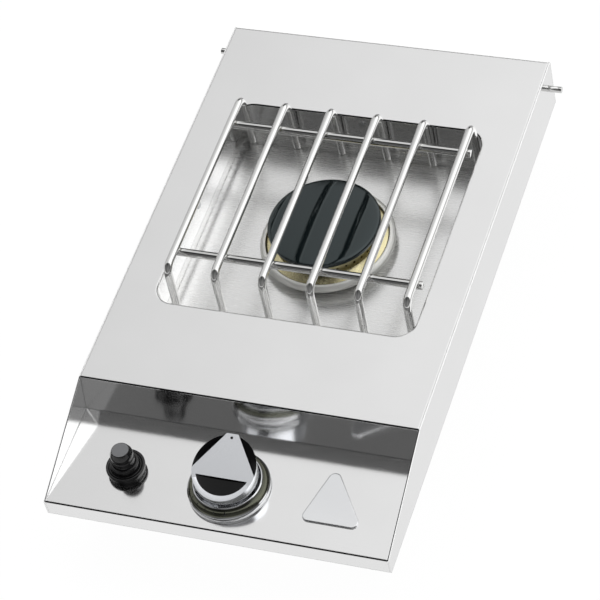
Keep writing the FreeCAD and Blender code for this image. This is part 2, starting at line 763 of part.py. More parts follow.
def box_side(label, side):
    """A stepped side plate with two tie holes and a row of air slots."""
    body = new_body(label)
    plate = new_sketch(body, "YZ_Plane", box_half - box_steel if side > 0 else -box_half)
    step_y = deck_front_y + steel + pan_gap
    add_polygon(plate, [
        (box_front_y, box_slope_height), (box_foot_y, 0), (box_rear_y, 0), (box_rear_y, deck_under),
        (step_y, deck_under), (step_y, shelf_under), (box_front_y, shelf_under)])
    pad(body, plate, box_steel)
    holes = new_sketch(body, "YZ_Plane")
    for end in (-0.5, 0.5):
        add_circle(holes, tie_hole_shift + tie_hole_spacing * end, tie_hole_height, tie_hole_radius)
    slot_count = 7
    for i in range(slot_count):
        slot_y = tie_hole_shift + slot_pitch * (i - (slot_count - 1) / 2)
        add_polygon(holes, [(slot_y, slot_z), (slot_y + slot_width, slot_z),
                            (slot_y + slot_width, slot_z + slot_height), (slot_y, slot_z + slot_height)])
    pocket(body, holes, box_width + box_steel, midplane=True)
    return keep(body, label)


box_side("box_side_left", -1)
box_side("box_side_right", 1)

# Burner pan: pressed tray under the cut-out, screwed to the turned-down lip

pan = new_body("burner_pan")
pan_grow = steel + pan_gap + pan_steel
pan_under = floor_z - pan_steel
pan_top = deck_under - pan_top_gap
pan_outline = new_sketch(pan, "XY_Plane", pan_under)
add_round_rectangle(pan_outline, well_left - pan_grow, well_right + pan_grow, well_front - pan_grow,
                    well_rear + pan_grow, well_corner + pan_grow)
pad(pan, pan_outline, pan_top - pan_under)
pan_grow = steel + pan_gap
pan_inside = new_sketch(pan, "XY_Plane", pan_top)
add_round_rectangle(pan_inside, well_left - pan_grow, well_right + pan_grow, well_front - pan_grow,
                    well_rear + pan_grow, well_corner + pan_grow)
pocket(pan, pan_inside, pan_top - floor_z)
electrode_angle = 119
electrode_x = electrode_reach * math.cos(math.radians(electrode_angle))
electrode_y = burner_y + electrode_reach * math.sin(math.radians(electrode_angle))
burner_screw_circle = bowl_radius + (bowl_flange - bowl_radius) / 2
burner_screw_angles = (30, 150, 270)
floor_holes = new_sketch(pan, "XY_Plane", floor_z + steel)
add_circle(floor_holes, 0, burner_y, bowl_radius + hole_gap)
add_circle(floor_holes, electrode_x, electrode_y, ceramic_radius + hole_gap)
for angle in burner_screw_angles:
    add_circle(floor_holes, burner_screw_circle * math.cos(math.radians(angle)),
               burner_y + burner_screw_circle * math.sin(math.radians(angle)), screw_radius)
pocket(pan, floor_holes, steel * 3)
pan_screw_z = deck_z - pan_screw_drop
side_holes = new_sketch(pan, "YZ_Plane")
add_circle(side_holes, well_centre_y, pan_screw_z, screw_radius)
pocket(pan, side_holes, well_width + steel * 6, midplane=True)
end_holes = new_sketch(pan, "XZ_Plane", -well_centre_y)
add_circle(end_holes, 0, pan_screw_z, screw_radius)
pocket(pan, end_holes, well_depth + steel * 6, midplane=True)
keep(pan, "burner_pan")


def screw(axis, direction, x, y, z, shank_length):
    """A pan-head screw whose head seats at x, y, z and whose shank runs in the direction given."""
    spot = {"x": as_size(x), "y": as_size(y), "z": as_size(z)}
    head_spot = dict(spot)
    shank_spot = dict(spot)
    if direction > 0:
        head_spot[axis] = spot[axis] - screw_head_height
    else:
        shank_spot[axis] = spot[axis] - shank_length
    head = cylinder(axis, head_spot["x"], head_spot["y"], head_spot["z"], screw_head_radius,
                    screw_head_height)
    shank = cylinder(axis, shank_spot["x"], shank_spot["y"], shank_spot["z"],
                     screw_radius - running_gap, shank_length)
    return fuse("screw", [head, shank])


group("pan_screws", [
    screw("x", 1, well_right, well_centre_y, pan_screw_z, pan_shank),
    screw("x", -1, well_left, well_centre_y, pan_screw_z, pan_shank),
    screw("y", 1, 0, well_rear, pan_screw_z, pan_shank),
    screw("y", -1, 0, well_front, pan_screw_z, pan_shank)])

# Drip ring: spun collar that stands on the pan round the burner

drip_foot = drip_outer - drip_undercut
revolve("drip_ring", [
    (drip_foot, 0), (drip_outer, drip_shoulder), (drip_inner + drip_bead, drip_top),
    (drip_inner, drip_top), (drip_inner, drip_top - drip_lip),
    (drip_inner + drip_wall, drip_top - drip_lip), (drip_inner + drip_wall, drip_top - drip_wall),
    (drip_outer - drip_wall * 1.6, drip_shoulder - drip_wall), (drip_foot - drip_wall * 1.3, 0)],
    y=burner_y, z=floor_z)

# Burner: bowl, brass flame ring, enamelled cap and mixer tube

bowl_inside = bowl_radius - bowl_wall
bowl_bottom = bowl_rim - bowl_depth
bowl = revolve("burner_bowl", [
    (0, bowl_bottom), (bowl_radius - bowl_chamfer, bowl_bottom), (bowl_radius, bowl_bottom + bowl_chamfer),
    (bowl_radius, 0), (bowl_flange, 0), (bowl_flange, bowl_flange_height),
    (bowl_radius, bowl_flange_height), (bowl_radius, bowl_rim), (bowl_inside, bowl_rim),
    (bowl_inside, bowl_bottom + bowl_chamfer),
    (bowl_inside - bowl_chamfer + bowl_wall, bowl_bottom + bowl_wall),
    (0, bowl_bottom + bowl_wall)], y=burner_y, z=floor_z)
boss_section = new_sketch(bowl, "XZ_Plane", bowl_radius - bowl_wall / 2)
add_circle(boss_section, 0, valve_z - floor_z, bowl_boss_radius)
pad(bowl, boss_section, bowl_boss_length + bowl_wall / 2)
boss_bore = new_sketch(bowl, "XZ_Plane", bowl_radius + bowl_boss_length)
add_circle(boss_bore, 0, valve_z - floor_z, mixer_radius + running_gap)
pocket(bowl, boss_bore, bowl_boss_length + bowl_wall * 3)
flange_holes = new_sketch(bowl, "XY_Plane", bowl_flange_height)
for angle in burner_screw_angles:
    add_circle(flange_holes, burner_screw_circle * math.cos(math.radians(angle)),
               burner_screw_circle * math.sin(math.radians(angle)), screw_radius)
pocket(bowl, flange_holes, bowl_flange_height)
group("burner_screws", [
    screw("z", -1, burner_screw_circle * math.cos(math.radians(angle)),
          burner_y + burner_screw_circle * math.sin(math.radians(angle)),
          floor_z + bowl_flange_height, burner_screw_length) for angle in burner_screw_angles])

cap_under = deck_z - cap_drop - cap_edge
ring_base = bowl_rim + seat_gap
ring_top = cap_under - floor_z - seat_gap
flame_ring = revolve("flame_ring", [
    (ring_bore, ring_base - ring_skirt), (bowl_inside - seat_gap, ring_base - ring_skirt),
    (bowl_inside - seat_gap, ring_base), (ring_foot, ring_base), (ring_ledge_radius, ring_ledge_low),
    (ring_ledge_radius, ring_ledge_high), (ring_wall_radius + ring_root, ring_ledge_inner),
    (ring_wall_radius, ring_top), (ring_bore, ring_top)], y=burner_y, z=floor_z)
port_section = new_sketch(flame_ring, "XZ_Plane")
add_circle(port_section, 0, port_height, port_radius)
port = pocket(flame_ring, port_section, ring_ledge_radius, reverse=True)
ports = flame_ring.newObject("PartDesign::PolarPattern", "ports")
ports.Originals = [port]
ports.Axis = (port_section, ["V_Axis"])
ports.Angle = 360
ports.Occurrences = port_count
flame_ring.Tip = ports
doc.recompute()

cap_collar_outer = ring_bore - seat_gap
revolve("burner_cap", [
    (0, 0), (cap_collar_inner, 0), (cap_collar_inner, -cap_collar_depth),
    (cap_collar_outer, -cap_collar_depth), (cap_collar_outer, 0), (cap_radius - cap_shoulder, 0),
    (cap_radius, cap_shoulder), (cap_radius, cap_edge - cap_shoulder),
    (cap_radius - cap_shoulder, cap_edge), (cap_dome_rim, cap_edge + cap_rim_rise),
    (cap_crown_radius, cap_edge + cap_dome - cap_crown_drop), (0, cap_edge + cap_dome)],
    y=burner_y, z=cap_under)

mixer_length = burner_y - bowl_inside - mixer_mouth_y
mixer = revolve("mixer_tube", [
    (mouth_radius, 0), (mouth_radius, mouth_length), (mixer_throat + mixer_wall, throat_start),
    (mixer_throat + mixer_wall, throat_end), (mixer_radius, diffuser_end), (mixer_radius, mixer_length),
    (mixer_radius - mixer_wall, mixer_length), (mixer_radius - mixer_wall, diffuser_end),
    (mixer_throat, throat_end), (mixer_throat, throat_start), (mouth_radius - mixer_wall, mouth_length),
    (mouth_radius - mixer_wall, 0)], TURNS["y"], 0, mixer_mouth_y, valve_z)
shutter_inside = mouth_radius + running_gap
shutter_outside = shutter_inside + shutter_wall
shutter = revolve("air_shutter", [
    (jet_hole, -shutter_face - shutter_wall), (shutter_outside, -shutter_face - shutter_wall),
    (shutter_outside, shutter_length), (shutter_inside, shutter_length),
    (shutter_inside, -shutter_face), (jet_hole, -shutter_face)],
    TURNS["y"], 0, mixer_mouth_y, valve_z)
for tube in (mixer, shutter):
    window = new_sketch(tube, "YZ_Plane")
    add_polygon(window, [(-window_width / 2, window_low), (window_width / 2, window_low),
                         (window_width / 2, window_high), (-window_width / 2, window_high)])
    pocket(tube, window, mouth_radius * 4, midplane=True)

# Grate: six rods bent down at both ends, welded on two cross rods

foot_z = floor_z + seat_gap + rod_diameter / 2 * math.sin(math.radians(leg_lean.value))


def grate_rod(label, x):
    """One rod: foot, bend, straight run, bend and foot, swept by a round section."""
    body = new_body(label)
    path = new_sketch(body, "YZ_Plane", x)
    lean = math.radians(leg_lean.value)
    low_y, high_y = grate_y - foot_span / 2, grate_y + foot_span / 2
    bend = rod_bend.value
    rise = rod_z.value - foot_z.value
    corner = low_y.value + rise * math.tan(lean)
    reach = bend * math.tan((math.pi / 2 - lean) / 2)
    first = Vector(corner - reach * math.sin(lean), rod_z.value - reach * math.cos(lean), 0)
    second = Vector(corner + reach, rod_z.value, 0)
    middle = Vector(corner + reach, rod_z.value - bend, 0)
    tip = middle + Vector(-math.cos(lean / 2 + math.pi / 4), math.sin(lean / 2 + math.pi / 4), 0) * bend

    def mirrored(point):
        return Vector(2 * grate_y.value - point.x, point.y, 0)

    foot = Vector(low_y.value, foot_z.value, 0)
    leg_one = path.addGeometry(Part.LineSegment(foot, first))
    bend_one = path.addGeometry(Part.Arc(first, tip, second))
    top = path.addGeometry(Part.LineSegment(second, mirrored(second)))
    bend_two = path.addGeometry(Part.Arc(mirrored(second), mirrored(tip), mirrored(first)))
    leg_two = path.addGeometry(Part.LineSegment(mirrored(first), mirrored(foot)))
    ends = {}
    for arc, near in ((bend_one, first), (bend_two, mirrored(second))):
        ends[arc] = (1, 2) if (path.getPoint(arc, 1) - near).Length < 0.01 else (2, 1)
    for before, before_end, after, after_start in (
            (leg_one, 2, bend_one, ends[bend_one][0]), (bend_one, ends[bend_one][1], top, 1),
            (top, 2, bend_two, ends[bend_two][0]), (bend_two, ends[bend_two][1], leg_two, 1)):
        path.addConstraint(Sketcher.Constraint("Tangent", before, before_end, after, after_start))
    pin_point(path, leg_one, 1, low_y, foot_z)
    pin_point(path, leg_two, 2, high_y, foot_z)
    path.addConstraint(Sketcher.Constraint("Horizontal", top))
    index = path.addConstraint(Sketcher.Constraint("DistanceY", -1, 1, top, 1, rod_z.value))
    path.setExpression(f"Constraints[{index}]", rod_z.text)
    for arc in (bend_one, bend_two):
        index = path.addConstraint(Sketcher.Constraint("Radius", arc, bend))
        path.setExpression(f"Constraints[{index}]", rod_bend.text)
    index = path.addConstraint(Sketcher.Constraint("Angle", leg_one, math.pi / 2 - lean))
    path.setExpression(f"Constraints[{index}]", f"(90 - {leg_lean.text}) * 1 deg")
    index = path.addConstraint(Sketcher.Constraint("Angle", leg_two, lean - math.pi / 2))
    path.setExpression(f"Constraints[{index}]", f"({leg_lean.text} - 90) * 1 deg")
    section = body.newObject("Sketcher::SketchObject", label + "_section")
    plane = [item for item in body.Origin.OriginFeatures if item.Role == "XY_Plane"][0]
    section.AttachmentSupport = [(plane, "")]
    section.MapMode = "FlatFace"
    section.AttachmentOffset = Placement(Vector(x.value, low_y.value, foot_z.value),
                                         Rotation(Vector(1, 0, 0), -leg_lean.value))
    bind(section, "AttachmentOffset.Base.x", x)
    bind(section, "AttachmentOffset.Base.y", low_y)
    bind(section, "AttachmentOffset.Base.z", foot_z)
    bind(section, "AttachmentOffset.Rotation.Angle", -leg_lean)
    add_circle(section, 0, 0, rod_diameter / 2)
    doc.recompute()
    pipe = body.newObject("PartDesign::AdditivePipe", label + "_sweep")
    pipe.Profile = section
    pipe.Spine = (path, [])
    doc.recompute()
    return keep(body, label)


for number in range(rod_count):
    grate_rod(f"grate_rod_{number + 1}", rod_pitch * (number - (rod_count - 1) / 2))
cross_z = rod_z - rod_diameter
for label, end in (("cross_rod_front", -0.5), ("cross_rod_rear", 0.5)):
    keep(cylinder("x", -cross_length / 2, grate_y + cross_span * end, cross_z, rod_diameter / 2,
                  cross_length), label)


def ring(label, axis, x, y, z, outer, inner, length):
    """A plain tube that starts at x, y, z and runs along the named axis."""
    return cut(label, cylinder(axis, x, y, z, outer, length), [cylinder(axis, x, y, z, inner, length)])


# Spark electrode: ceramic through the pan floor, held by a push-on clip, with a bent steel pin

ceramic_low = floor_z - ceramic_drop
ceramic_high = floor_z + ceramic_rise
keep(cut("electrode_ceramic", fuse("ceramic_body", [
    cylinder("z", electrode_x, electrode_y, ceramic_low, ceramic_radius, ceramic_high - ceramic_low),
    cylinder("z", electrode_x, electrode_y, floor_z, ceramic_collar, ceramic_collar_height)]),
    [cylinder("z", electrode_x, electrode_y, ceramic_low, pin_radius + running_gap,
              ceramic_high - ceramic_low)]), "electrode_ceramic")
keep(ring("electrode_clip", "z", electrode_x, electrode_y, pan_under - ceramic_clip_height, ceramic_clip,
          ceramic_radius + running_gap, ceramic_clip_height), "electrode_clip")
toward = (electrode_x.value / electrode_reach.value,
          (electrode_y.value - burner_y.value) / electrode_reach.value)
feature("electrode_pin", tube_shape([
    (electrode_x.value, electrode_y.value, ceramic_low.value),
    (electrode_x.value, electrode_y.value, (floor_z + pin_corner_rise).value),
    (toward[0] * pin_reach.value, burner_y.value + toward[1] * pin_reach.value,
     (floor_z + pin_tip_rise).value)], pin_radius.value, pin_bend.value))

# Gas valve: body, bonnet, turning plug, stem with its return spring, and the jet

valve_left, valve_right = -valve_width / 2, valve_width / 2
valve_front, valve_rear = control_y - valve_depth / 2, control_y + valve_depth / 2
valve_low, valve_high = valve_z - valve_height / 2, valve_z + valve_height / 2
plug_bore = plug_radius + running_gap
plug_low, plug_high = valve_z - plug_seat_drop, valve_z + plug_rise
collar_low = valve_z + collar_rise
tang_low, tang_pit = valve_z - tang_drop, valve_z - tang_pit_drop
bonnet_screw_spots = (
    (valve_left + bonnet_screw_inset, valve_rear - bonnet_screw_inset),
    (valve_right - bonnet_screw_inset, valve_front + bonnet_screw_inset))
keep(cut("valve_body", fuse("valve_casting", [
    block(valve_left, valve_right, valve_front, valve_rear, valve_low, valve_high),
    cylinder("x", valve_left - inlet_boss, control_y, valve_z, fitting_thread, inlet_boss + steel)]), [
    cylinder("z", 0, control_y, plug_low, plug_bore, valve_high - plug_low),
    cylinder("x", valve_left - inlet_boss, control_y, valve_z, flare_bore, inlet_boss - valve_left),
    cylinder("y", 0, control_y, valve_z, gas_way, valve_depth / 2),
    cylinder("y", 0, valve_rear - jet_socket, valve_z, jet_thread + running_gap, jet_socket)
] + [cylinder("z", x, y, valve_high - bonnet_screw_depth, screw_radius, bonnet_screw_depth)
     for x, y in bonnet_screw_spots]), "valve_body")
flange_top = valve_high + bonnet_flange
collar_high = collar_low + collar_thickness + seat_gap
neck_top = shelf_z + neck_height
keep(cut("valve_bonnet", fuse("bonnet_casting", [
    block(valve_left, valve_right, valve_front, valve_rear, valve_high, flange_top),
    cylinder("z", 0, control_y, valve_high, bonnet_radius, shelf_under - valve_high),
    cylinder("z", 0, control_y, valve_high, valve_neck, neck_top - valve_high)]), [
    cylinder("z", 0, control_y, valve_high, plug_bore, collar_high - valve_high),
    cylinder("z", 0, control_y, valve_high, stem_radius + running_gap, neck_top - valve_high)
] + [cylinder("z", x, y, valve_high, screw_radius, bonnet_flange)
     for x, y in bonnet_screw_spots]), "valve_bonnet")
group("bonnet_screws", [screw("z", -1, x, y, flange_top, bonnet_flange + bonnet_screw_grip)
                        for x, y in bonnet_screw_spots])
keep(cut("valve_plug", cylinder("z", 0, control_y, plug_low + seat_gap, plug_radius,
                                plug_high - plug_low - seat_gap), [
    block(-tang_width / 2 - running_gap, tang_width / 2 + running_gap,
          control_y - tang_width / 2 - running_gap, control_y + tang_width / 2 + running_gap,
          tang_pit, plug_high),
    cylinder("y", 0, control_y, valve_z, gas_way, plug_radius),
    cylinder("x", -plug_radius, control_y, valve_z, gas_way, plug_radius)]), "valve_plug")
keep(ring("valve_spring", "z", 0, control_y, plug_high, spring_outer, spring_inner, collar_low - plug_high),
     "valve_spring")
stem_top = shelf_z + stem_rise
flat_low = shelf_z + knob_hub_start - hole_gap
keep(cut("valve_stem", fuse("stem_bar", [
    block(-tang_width / 2, tang_width / 2, control_y - tang_width / 2, control_y + tang_width / 2,
          tang_low, collar_low),
    cylinder("z", 0, control_y, collar_low, collar_radius, collar_thickness),
    cylinder("z", 0, control_y, collar_low, stem_radius, stem_top - collar_low)]), [
    block(stem_flat, stem_radius * 2, control_y - stem_radius, control_y + stem_radius,
          flat_low, stem_top)]), "valve_stem")
keep(cut("gas_jet", fuse("jet_body", [
    cylinder("y", 0, valve_rear - jet_socket + seat_gap, valve_z, jet_thread, jet_socket),
    hexagon("y", 0, valve_rear, valve_z, jet_hex, jet_hex_length),
    cylinder("y", 0, valve_rear, valve_z, jet_tip_radius, jet_tip_y - valve_rear)]), [
    cylinder("y", 0, valve_rear - jet_socket, valve_z, jet_thread / 2, jet_socket + jet_hex_length),
    cylinder("y", 0, valve_rear, valve_z, jet_orifice, jet_tip_y - valve_rear)]), "gas_jet")

# Dial bezel clamped on the shelf by the valve's nut

revolve("bezel", [
    (valve_neck + hole_gap, 0), (bezel_radius, 0), (bezel_radius, bezel_rim),
    (bezel_inner + bezel_crest, bezel_height), (bezel_inner, bezel_height), (bezel_inner, bezel_floor),
    (valve_neck + hole_gap, bezel_floor)], y=control_y, z=shelf_z)
nut_low = shelf_z + bezel_floor
keep(cut("valve_nut", hexagon("z", 0, control_y, nut_low, nut_width, nut_height), [
    cylinder("z", 0, control_y, nut_low, valve_neck + running_gap, nut_height)]), "valve_nut")

# Control knob: a round skirt with a sloping triangular top, pushed on the stem's flat

knob_slope = (knob_tip_height - knob_side_height) / (knob_tip_radius + knob_back)
knob_axis_height = knob_side_height + knob_back * knob_slope
knob_z = shelf_z + knob_lift


def knob_limit(label, height, slope):
    """The space under a sloping plane of the given height on the knob's axis."""
    body = new_body(label)
    side_view = new_sketch(body, "YZ_Plane")
    reach = knob_radius * 2
    add_polygon(side_view, [
        (control_y - reach, knob_z), (control_y + reach, knob_z),
        (control_y + reach, shelf_z + height + reach * slope),
        (control_y - reach, shelf_z + height - reach * slope)])
    pad(body, side_view, knob_radius * 4, midplane=True)
    return body


def common(label, first, second):
    shared = doc.addObject("Part::MultiCommon", label)
    shared.Shapes = [first, second]
    return shared


def knob_prism(label, corners, low):
    """An upright prism in the knob's plan, from a height above the shelf up past the pointer."""
    body = new_body(label)
    plan = new_sketch(body, "XY_Plane", shelf_z + low)
    add_polygon(plan, [(x, control_y + step) for x, step in corners])
    pad(body, plan, knob_tip_height)
    return body


skirt = doc.addObject("Part::Cone", "knob_skirt")
bind(skirt, "Radius1", knob_radius)
bind(skirt, "Radius2", knob_top_radius)
bind(skirt, "Height", knob_tip_height - knob_lift)
place(skirt, as_size(0), control_y, knob_z)
tip_half = knob_tip_width / 2
column = knob_prism("knob_column", [
    (-tip_half, 0), (tip_half, 0), (tip_half, knob_tip_radius), (-tip_half, knob_tip_radius)],
    knob_column_start)
far = knob_tip_radius * 1.5
scoop_floor = knob_limit("scoop_floor", knob_axis_height - knob_scoop_depth, knob_slope)
scoops = []
for side in (-1, 1):
    corners = [(tip_half * side, knob_tip_radius), (knob_side_x * side, -knob_side_back),
               (far * side, 0), (far * side, far), (tip_half * side, far)]
    plan = knob_prism("side_scoop_plan", corners[::side], knob_lift)
    scoops.append(cut("side_scoop", plan, [scoop_floor]))
front_plan = knob_prism("front_scoop_plan", [
    (knob_front_x, -knob_front_back), (-knob_front_x, -knob_front_back), (-knob_front_x, -far),
    (knob_front_x, -far)], knob_lift)
scoop_round = cylinder("z", 0, control_y, knob_z, knob_scoop_radius, knob_tip_height)
scoops.append(cut("front_scoop", common("front_scoop_round", front_plan, scoop_round), [scoop_floor]))
tilt = math.degrees(math.atan(knob_slope.value))
dot_x, dot_y = as_size(0), control_y + knob_dot_reach
dot_z = shelf_z + knob_axis_height + knob_dot_reach * knob_slope


def sunk_disc(radius, depth, proud):
    """A disc square to the knob's top at the pointer, sunk by its depth less what stands proud."""
    disc = doc.addObject("Part::Cylinder", "sunk_disc")
    bind(disc, "Radius", radius)
    bind(disc, "Height", depth)
    sink = depth - proud
    lean = math.radians(tilt)
    return place(disc, dot_x, dot_y + sink * math.sin(lean), dot_z - sink * math.cos(lean),
                 ((1, 0, 0), tilt))


bore_low = shelf_z + knob_hub_start
knob_under = knob_limit("knob_top_limit", knob_axis_height, knob_slope)
keep(cut("knob", common("knob_solid", fuse("knob_outside", [skirt, column]), knob_under), scoops + [
    cut("knob_cavity", cylinder("z", 0, control_y, knob_z, knob_cavity_radius,
                                knob_cavity_height - knob_lift),
        [cylinder("z", 0, control_y, bore_low, knob_hub_radius, knob_cavity_height)]),
    cut("knob_bore", cylinder("z", 0, control_y, bore_low, stem_radius + running_gap,
                              stem_top - bore_low + seat_gap), [
        block(stem_flat + running_gap, stem_radius * 2, control_y - stem_radius * 2,
              control_y + stem_radius * 2, bore_low, stem_top + stem_radius)]),
    sunk_disc(knob_dot_radius + running_gap, knob_dot_depth * 2, knob_dot_depth)]), "knob")
keep(sunk_disc(knob_dot_radius, knob_dot_depth, hole_gap), "knob_dot")
clip_low = bore_low + seat_gap
keep(cut("knob_clip", cylinder("z", 0, control_y, clip_low, knob_hub_radius + knob_clip_wall,
                         knob_clip_height), [
    cylinder("z", 0, control_y, clip_low, knob_hub_radius + running_gap, knob_clip_height),
    block(-knob_clip_slot / 2, knob_clip_slot / 2, control_y, control_y + knob_radius, clip_low,
          clip_low + knob_clip_height)]),
    "knob_clip")

# Push igniter: battery barrel under the shelf, clamp collar, screw cap and sprung button

barrel_low = shelf_under - igniter_body_length
battery_low = barrel_low + igniter_bottom
battery_high = battery_low + battery_length
cap_base = igniter_collar_height + seat_gap
cap_top = cap_base + igniter_cap_height
flange_high = cap_top - igniter_lip - hole_gap
flange_low = flange_high - igniter_flange_height
chamber_base = flange_low - igniter_travel - hole_gap
neck_end = shelf_z + chamber_base - seat_gap
igniter_chamber = igniter_flange + igniter_chamber_gap
igniter_spring_outer = battery_radius + running_gap
revolve("igniter_body", [
    (0, 0), (igniter_body_radius, 0), (igniter_body_radius, igniter_body_length),
    (igniter_neck, igniter_body_length), (igniter_neck, neck_end - barrel_low),
    (battery_radius + pan_gap, neck_end - barrel_low), (battery_radius + pan_gap, igniter_bottom),
    (0, igniter_bottom)], x=igniter_x, y=control_y, z=barrel_low)
keep(cylinder("z", igniter_x, control_y, battery_low, battery_radius, battery_length), "battery")
keep(ring("igniter_collar", "z", igniter_x, control_y, shelf_z, igniter_collar_radius,
          igniter_neck + running_gap, igniter_collar_height), "igniter_collar")
revolve("igniter_cap", [
    (igniter_neck + running_gap, cap_base), (igniter_cap_radius - igniter_skirt_step, cap_base),
    (igniter_cap_radius - igniter_skirt_step, cap_top - igniter_rim),
    (igniter_cap_radius, cap_top - igniter_rim), (igniter_cap_radius, cap_top - igniter_cap_round), (igniter_cap_radius - igniter_cap_round, cap_top),
    (igniter_button_radius + igniter_throat_wall, cap_top),
    (igniter_button_radius + igniter_throat_wall - igniter_crown, cap_top + igniter_throat),
    (igniter_button_radius + hole_gap, cap_top + igniter_throat),
    (igniter_button_radius + hole_gap, cap_top - igniter_lip),
    (igniter_chamber, cap_top - igniter_lip), (igniter_chamber, chamber_base),
    (igniter_neck + running_gap, chamber_base)], x=igniter_x, y=control_y, z=shelf_z)
revolve("igniter_button", [
    (0, flange_low), (igniter_flange, flange_low), (igniter_flange, flange_high),
    (igniter_button_radius, flange_high), (igniter_button_radius, igniter_shoulder),
    (igniter_button_top + igniter_crown, igniter_height - igniter_crown), (igniter_button_top, igniter_height),
    (0, igniter_height)], x=igniter_x, y=control_y, z=shelf_z)
keep(ring("igniter_spring", "z", igniter_x, control_y, battery_high, igniter_spring_outer,
          igniter_spring_outer - igniter_spring_wire, shelf_z + flange_low - battery_high), "igniter_spring")
feature("ignition_lead", tube_shape([
    (igniter_x.value, control_y.value, barrel_low.value),
    (igniter_x.value, control_y.value, lead_height.value),
    (igniter_x.value, burner_y.value, lead_height.value),
    (electrode_x.value, electrode_y.value, lead_height.value),
    (electrode_x.value, electrode_y.value, ceramic_low.value)], lead_radius.value, lead_bend.value))


def lead_clip(y):
    return cut("lead_clip", block(igniter_x - clip_width / 2, igniter_x + clip_width / 2, y,
                                  y + clip_length, box_steel, clip_height),
               [cylinder("y", igniter_x, y, lead_height, lead_radius + running_gap, clip_length)])


clip_count = 3
group("lead_clips", [lead_clip(control_y + clip_start + clip_pitch * i) for i in range(clip_count)])

# Gas supply: bent pipe from the valve to a flare fitting in the rear wall

inlet_x = valve_left - inlet_boss
wall_in = box_rear_y - box_steel
locknut_front = wall_in - locknut_height
thread_front = locknut_front - steel - pipe_nut_overlap
feature("supply_pipe", tube_shape([
    (inlet_x.value, control_y.value, valve_z.value), (pipe_x.value, control_y.value, valve_z.value),
    (pipe_x.value, thread_front.value, valve_z.value)], pipe_radius.value, pipe_bend.value,
    pipe_radius.value - pipe_wall.value))
flare_start = box_rear_y + fitting_hex_length
flare_end = flare_start + flare_length
cone_length = flare_radius - flare_mouth
mouth = doc.addObject("Part::Cone", "flare_cone")
bind(mouth, "Radius1", flare_radius)
bind(mouth, "Radius2", flare_mouth)
bind(mouth, "Height", cone_length)
place(mouth, pipe_x, flare_end - cone_length, valve_z, TURNS["y"])
keep(cut("gas_inlet", fuse("inlet_body", [
    cylinder("y", pipe_x, thread_front, valve_z, fitting_thread, box_rear_y - thread_front),
    hexagon("y", pipe_x, box_rear_y, valve_z, fitting_hex, fitting_hex_length),
    cylinder("y", pipe_x, flare_start, valve_z, flare_radius, flare_length - cone_length),
    mouth]), [
    cylinder("y", pipe_x, thread_front, valve_z, flare_bore, flare_end - thread_front)]), "gas_inlet")
keep(cut("inlet_locknut", hexagon("y", pipe_x, locknut_front, valve_z, locknut_width, locknut_height), [
    cylinder("y", pipe_x, locknut_front, valve_z, fitting_thread + running_gap, locknut_height)]),
    "inlet_locknut")
front_nut = cut("pipe_nut", hexagon("x", inlet_x + pipe_nut_overlap - pipe_nut_length, control_y, valve_z,
                                    fitting_hex, pipe_nut_length), [
    cylinder("x", inlet_x - pipe_nut_length, control_y, valve_z, pipe_radius + running_gap,
             pipe_nut_length * 2),
    cylinder("x", inlet_x - seat_gap, control_y, valve_z, fitting_thread + running_gap,
             pipe_nut_overlap + seat_gap)])
rear_nut = cut("pipe_nut", hexagon("y", pipe_x, thread_front + pipe_nut_overlap - pipe_nut_length, valve_z,
                                   fitting_hex, pipe_nut_length), [
    cylinder("y", pipe_x, thread_front - pipe_nut_length, valve_z, pipe_radius + running_gap,
             pipe_nut_length * 2),
    cylinder("y", pipe_x, thread_front - seat_gap, valve_z, fitting_thread + running_gap,
             pipe_nut_overlap + seat_gap)])
group("pipe_nuts", [front_nut, rear_nut])

# Badge plate: bare rounded triangle on two posts with push-on nuts

badge = new_body("badge_plate")
badge_outline = new_sketch(badge, "XY_Plane", shelf_z)
add_polygon(badge_outline, [(badge_left_x, badge_front_y), (badge_right_x, badge_front_y),
                            (badge_apex_x, badge_apex_y)])
pad(badge, badge_outline, badge_thickness)
fillet(badge, badge_corner, lambda edge: along(edge, "z"))
fillet(badge, badge_edge, lambda edge: abs(edge.BoundBox.ZMin - (shelf_z + badge_thickness).value) < 0.01)
badge_posts = new_sketch(badge, "XY_Plane", shelf_z)
for post_y in badge_post_ys:
    add_circle(badge_posts, badge_post_x, post_y, badge_post)
pad(badge, badge_posts, badge_post_length, reverse=True)
keep(badge, "badge_plate")
group("badge_nuts", [
    ring("badge_nut", "z", badge_post_x, post_y, shelf_under - badge_nut_height, badge_nut_radius,
         badge_post + running_gap, badge_nut_height) for post_y in badge_post_ys])

# Hinge pins for a lift-off lid, each with a nut inside the skirt

pin_z = deck_z - lid_pin_drop
for label, side in (("lid_pin_left", -1), ("lid_pin_right", 1)):
    outer_start = -half_width - lid_pin_length if side < 0 else half_width
    thread_start = -half_width if side < 0 else half_width - lid_pin_inside
    keep(fuse(label, [
        cylinder("x", outer_start, lid_pin_y, pin_z, lid_pin_radius, lid_pin_length),
        cylinder("x", thread_start, lid_pin_y, pin_z, lid_pin_thread, lid_pin_inside)]), label)


def lid_nut(x):
    return cut("lid_nut", hexagon("x", x, lid_pin_y, pin_z, lid_nut_width, lid_nut_height), [
        cylinder("x", x, lid_pin_y, pin_z, lid_pin_thread + running_gap, lid_nut_height)])


group("lid_pin_nuts", [lid_nut(-inner_half), lid_nut(inner_half - lid_nut_height)])


def check_and_write():
    """Refuse a failed or invalid piece, then write one STEP file for each node."""
    doc.recompute()
    for item in doc.Objects:
        if "Invalid" in item.State or "Error" in item.State:
            raise RuntimeError(item.Label + " failed to compute")
    for piece in pieces:
        if piece.Shape.isNull() or not piece.Shape.isValid() or not piece.Shape.Solids:
            raise RuntimeError(piece.Label + " has no valid solid")
    for piece in pieces:
        piece.Shape.exportStep(f"parts/{piece.Label}.step")
    print(len(pieces), "nodes")


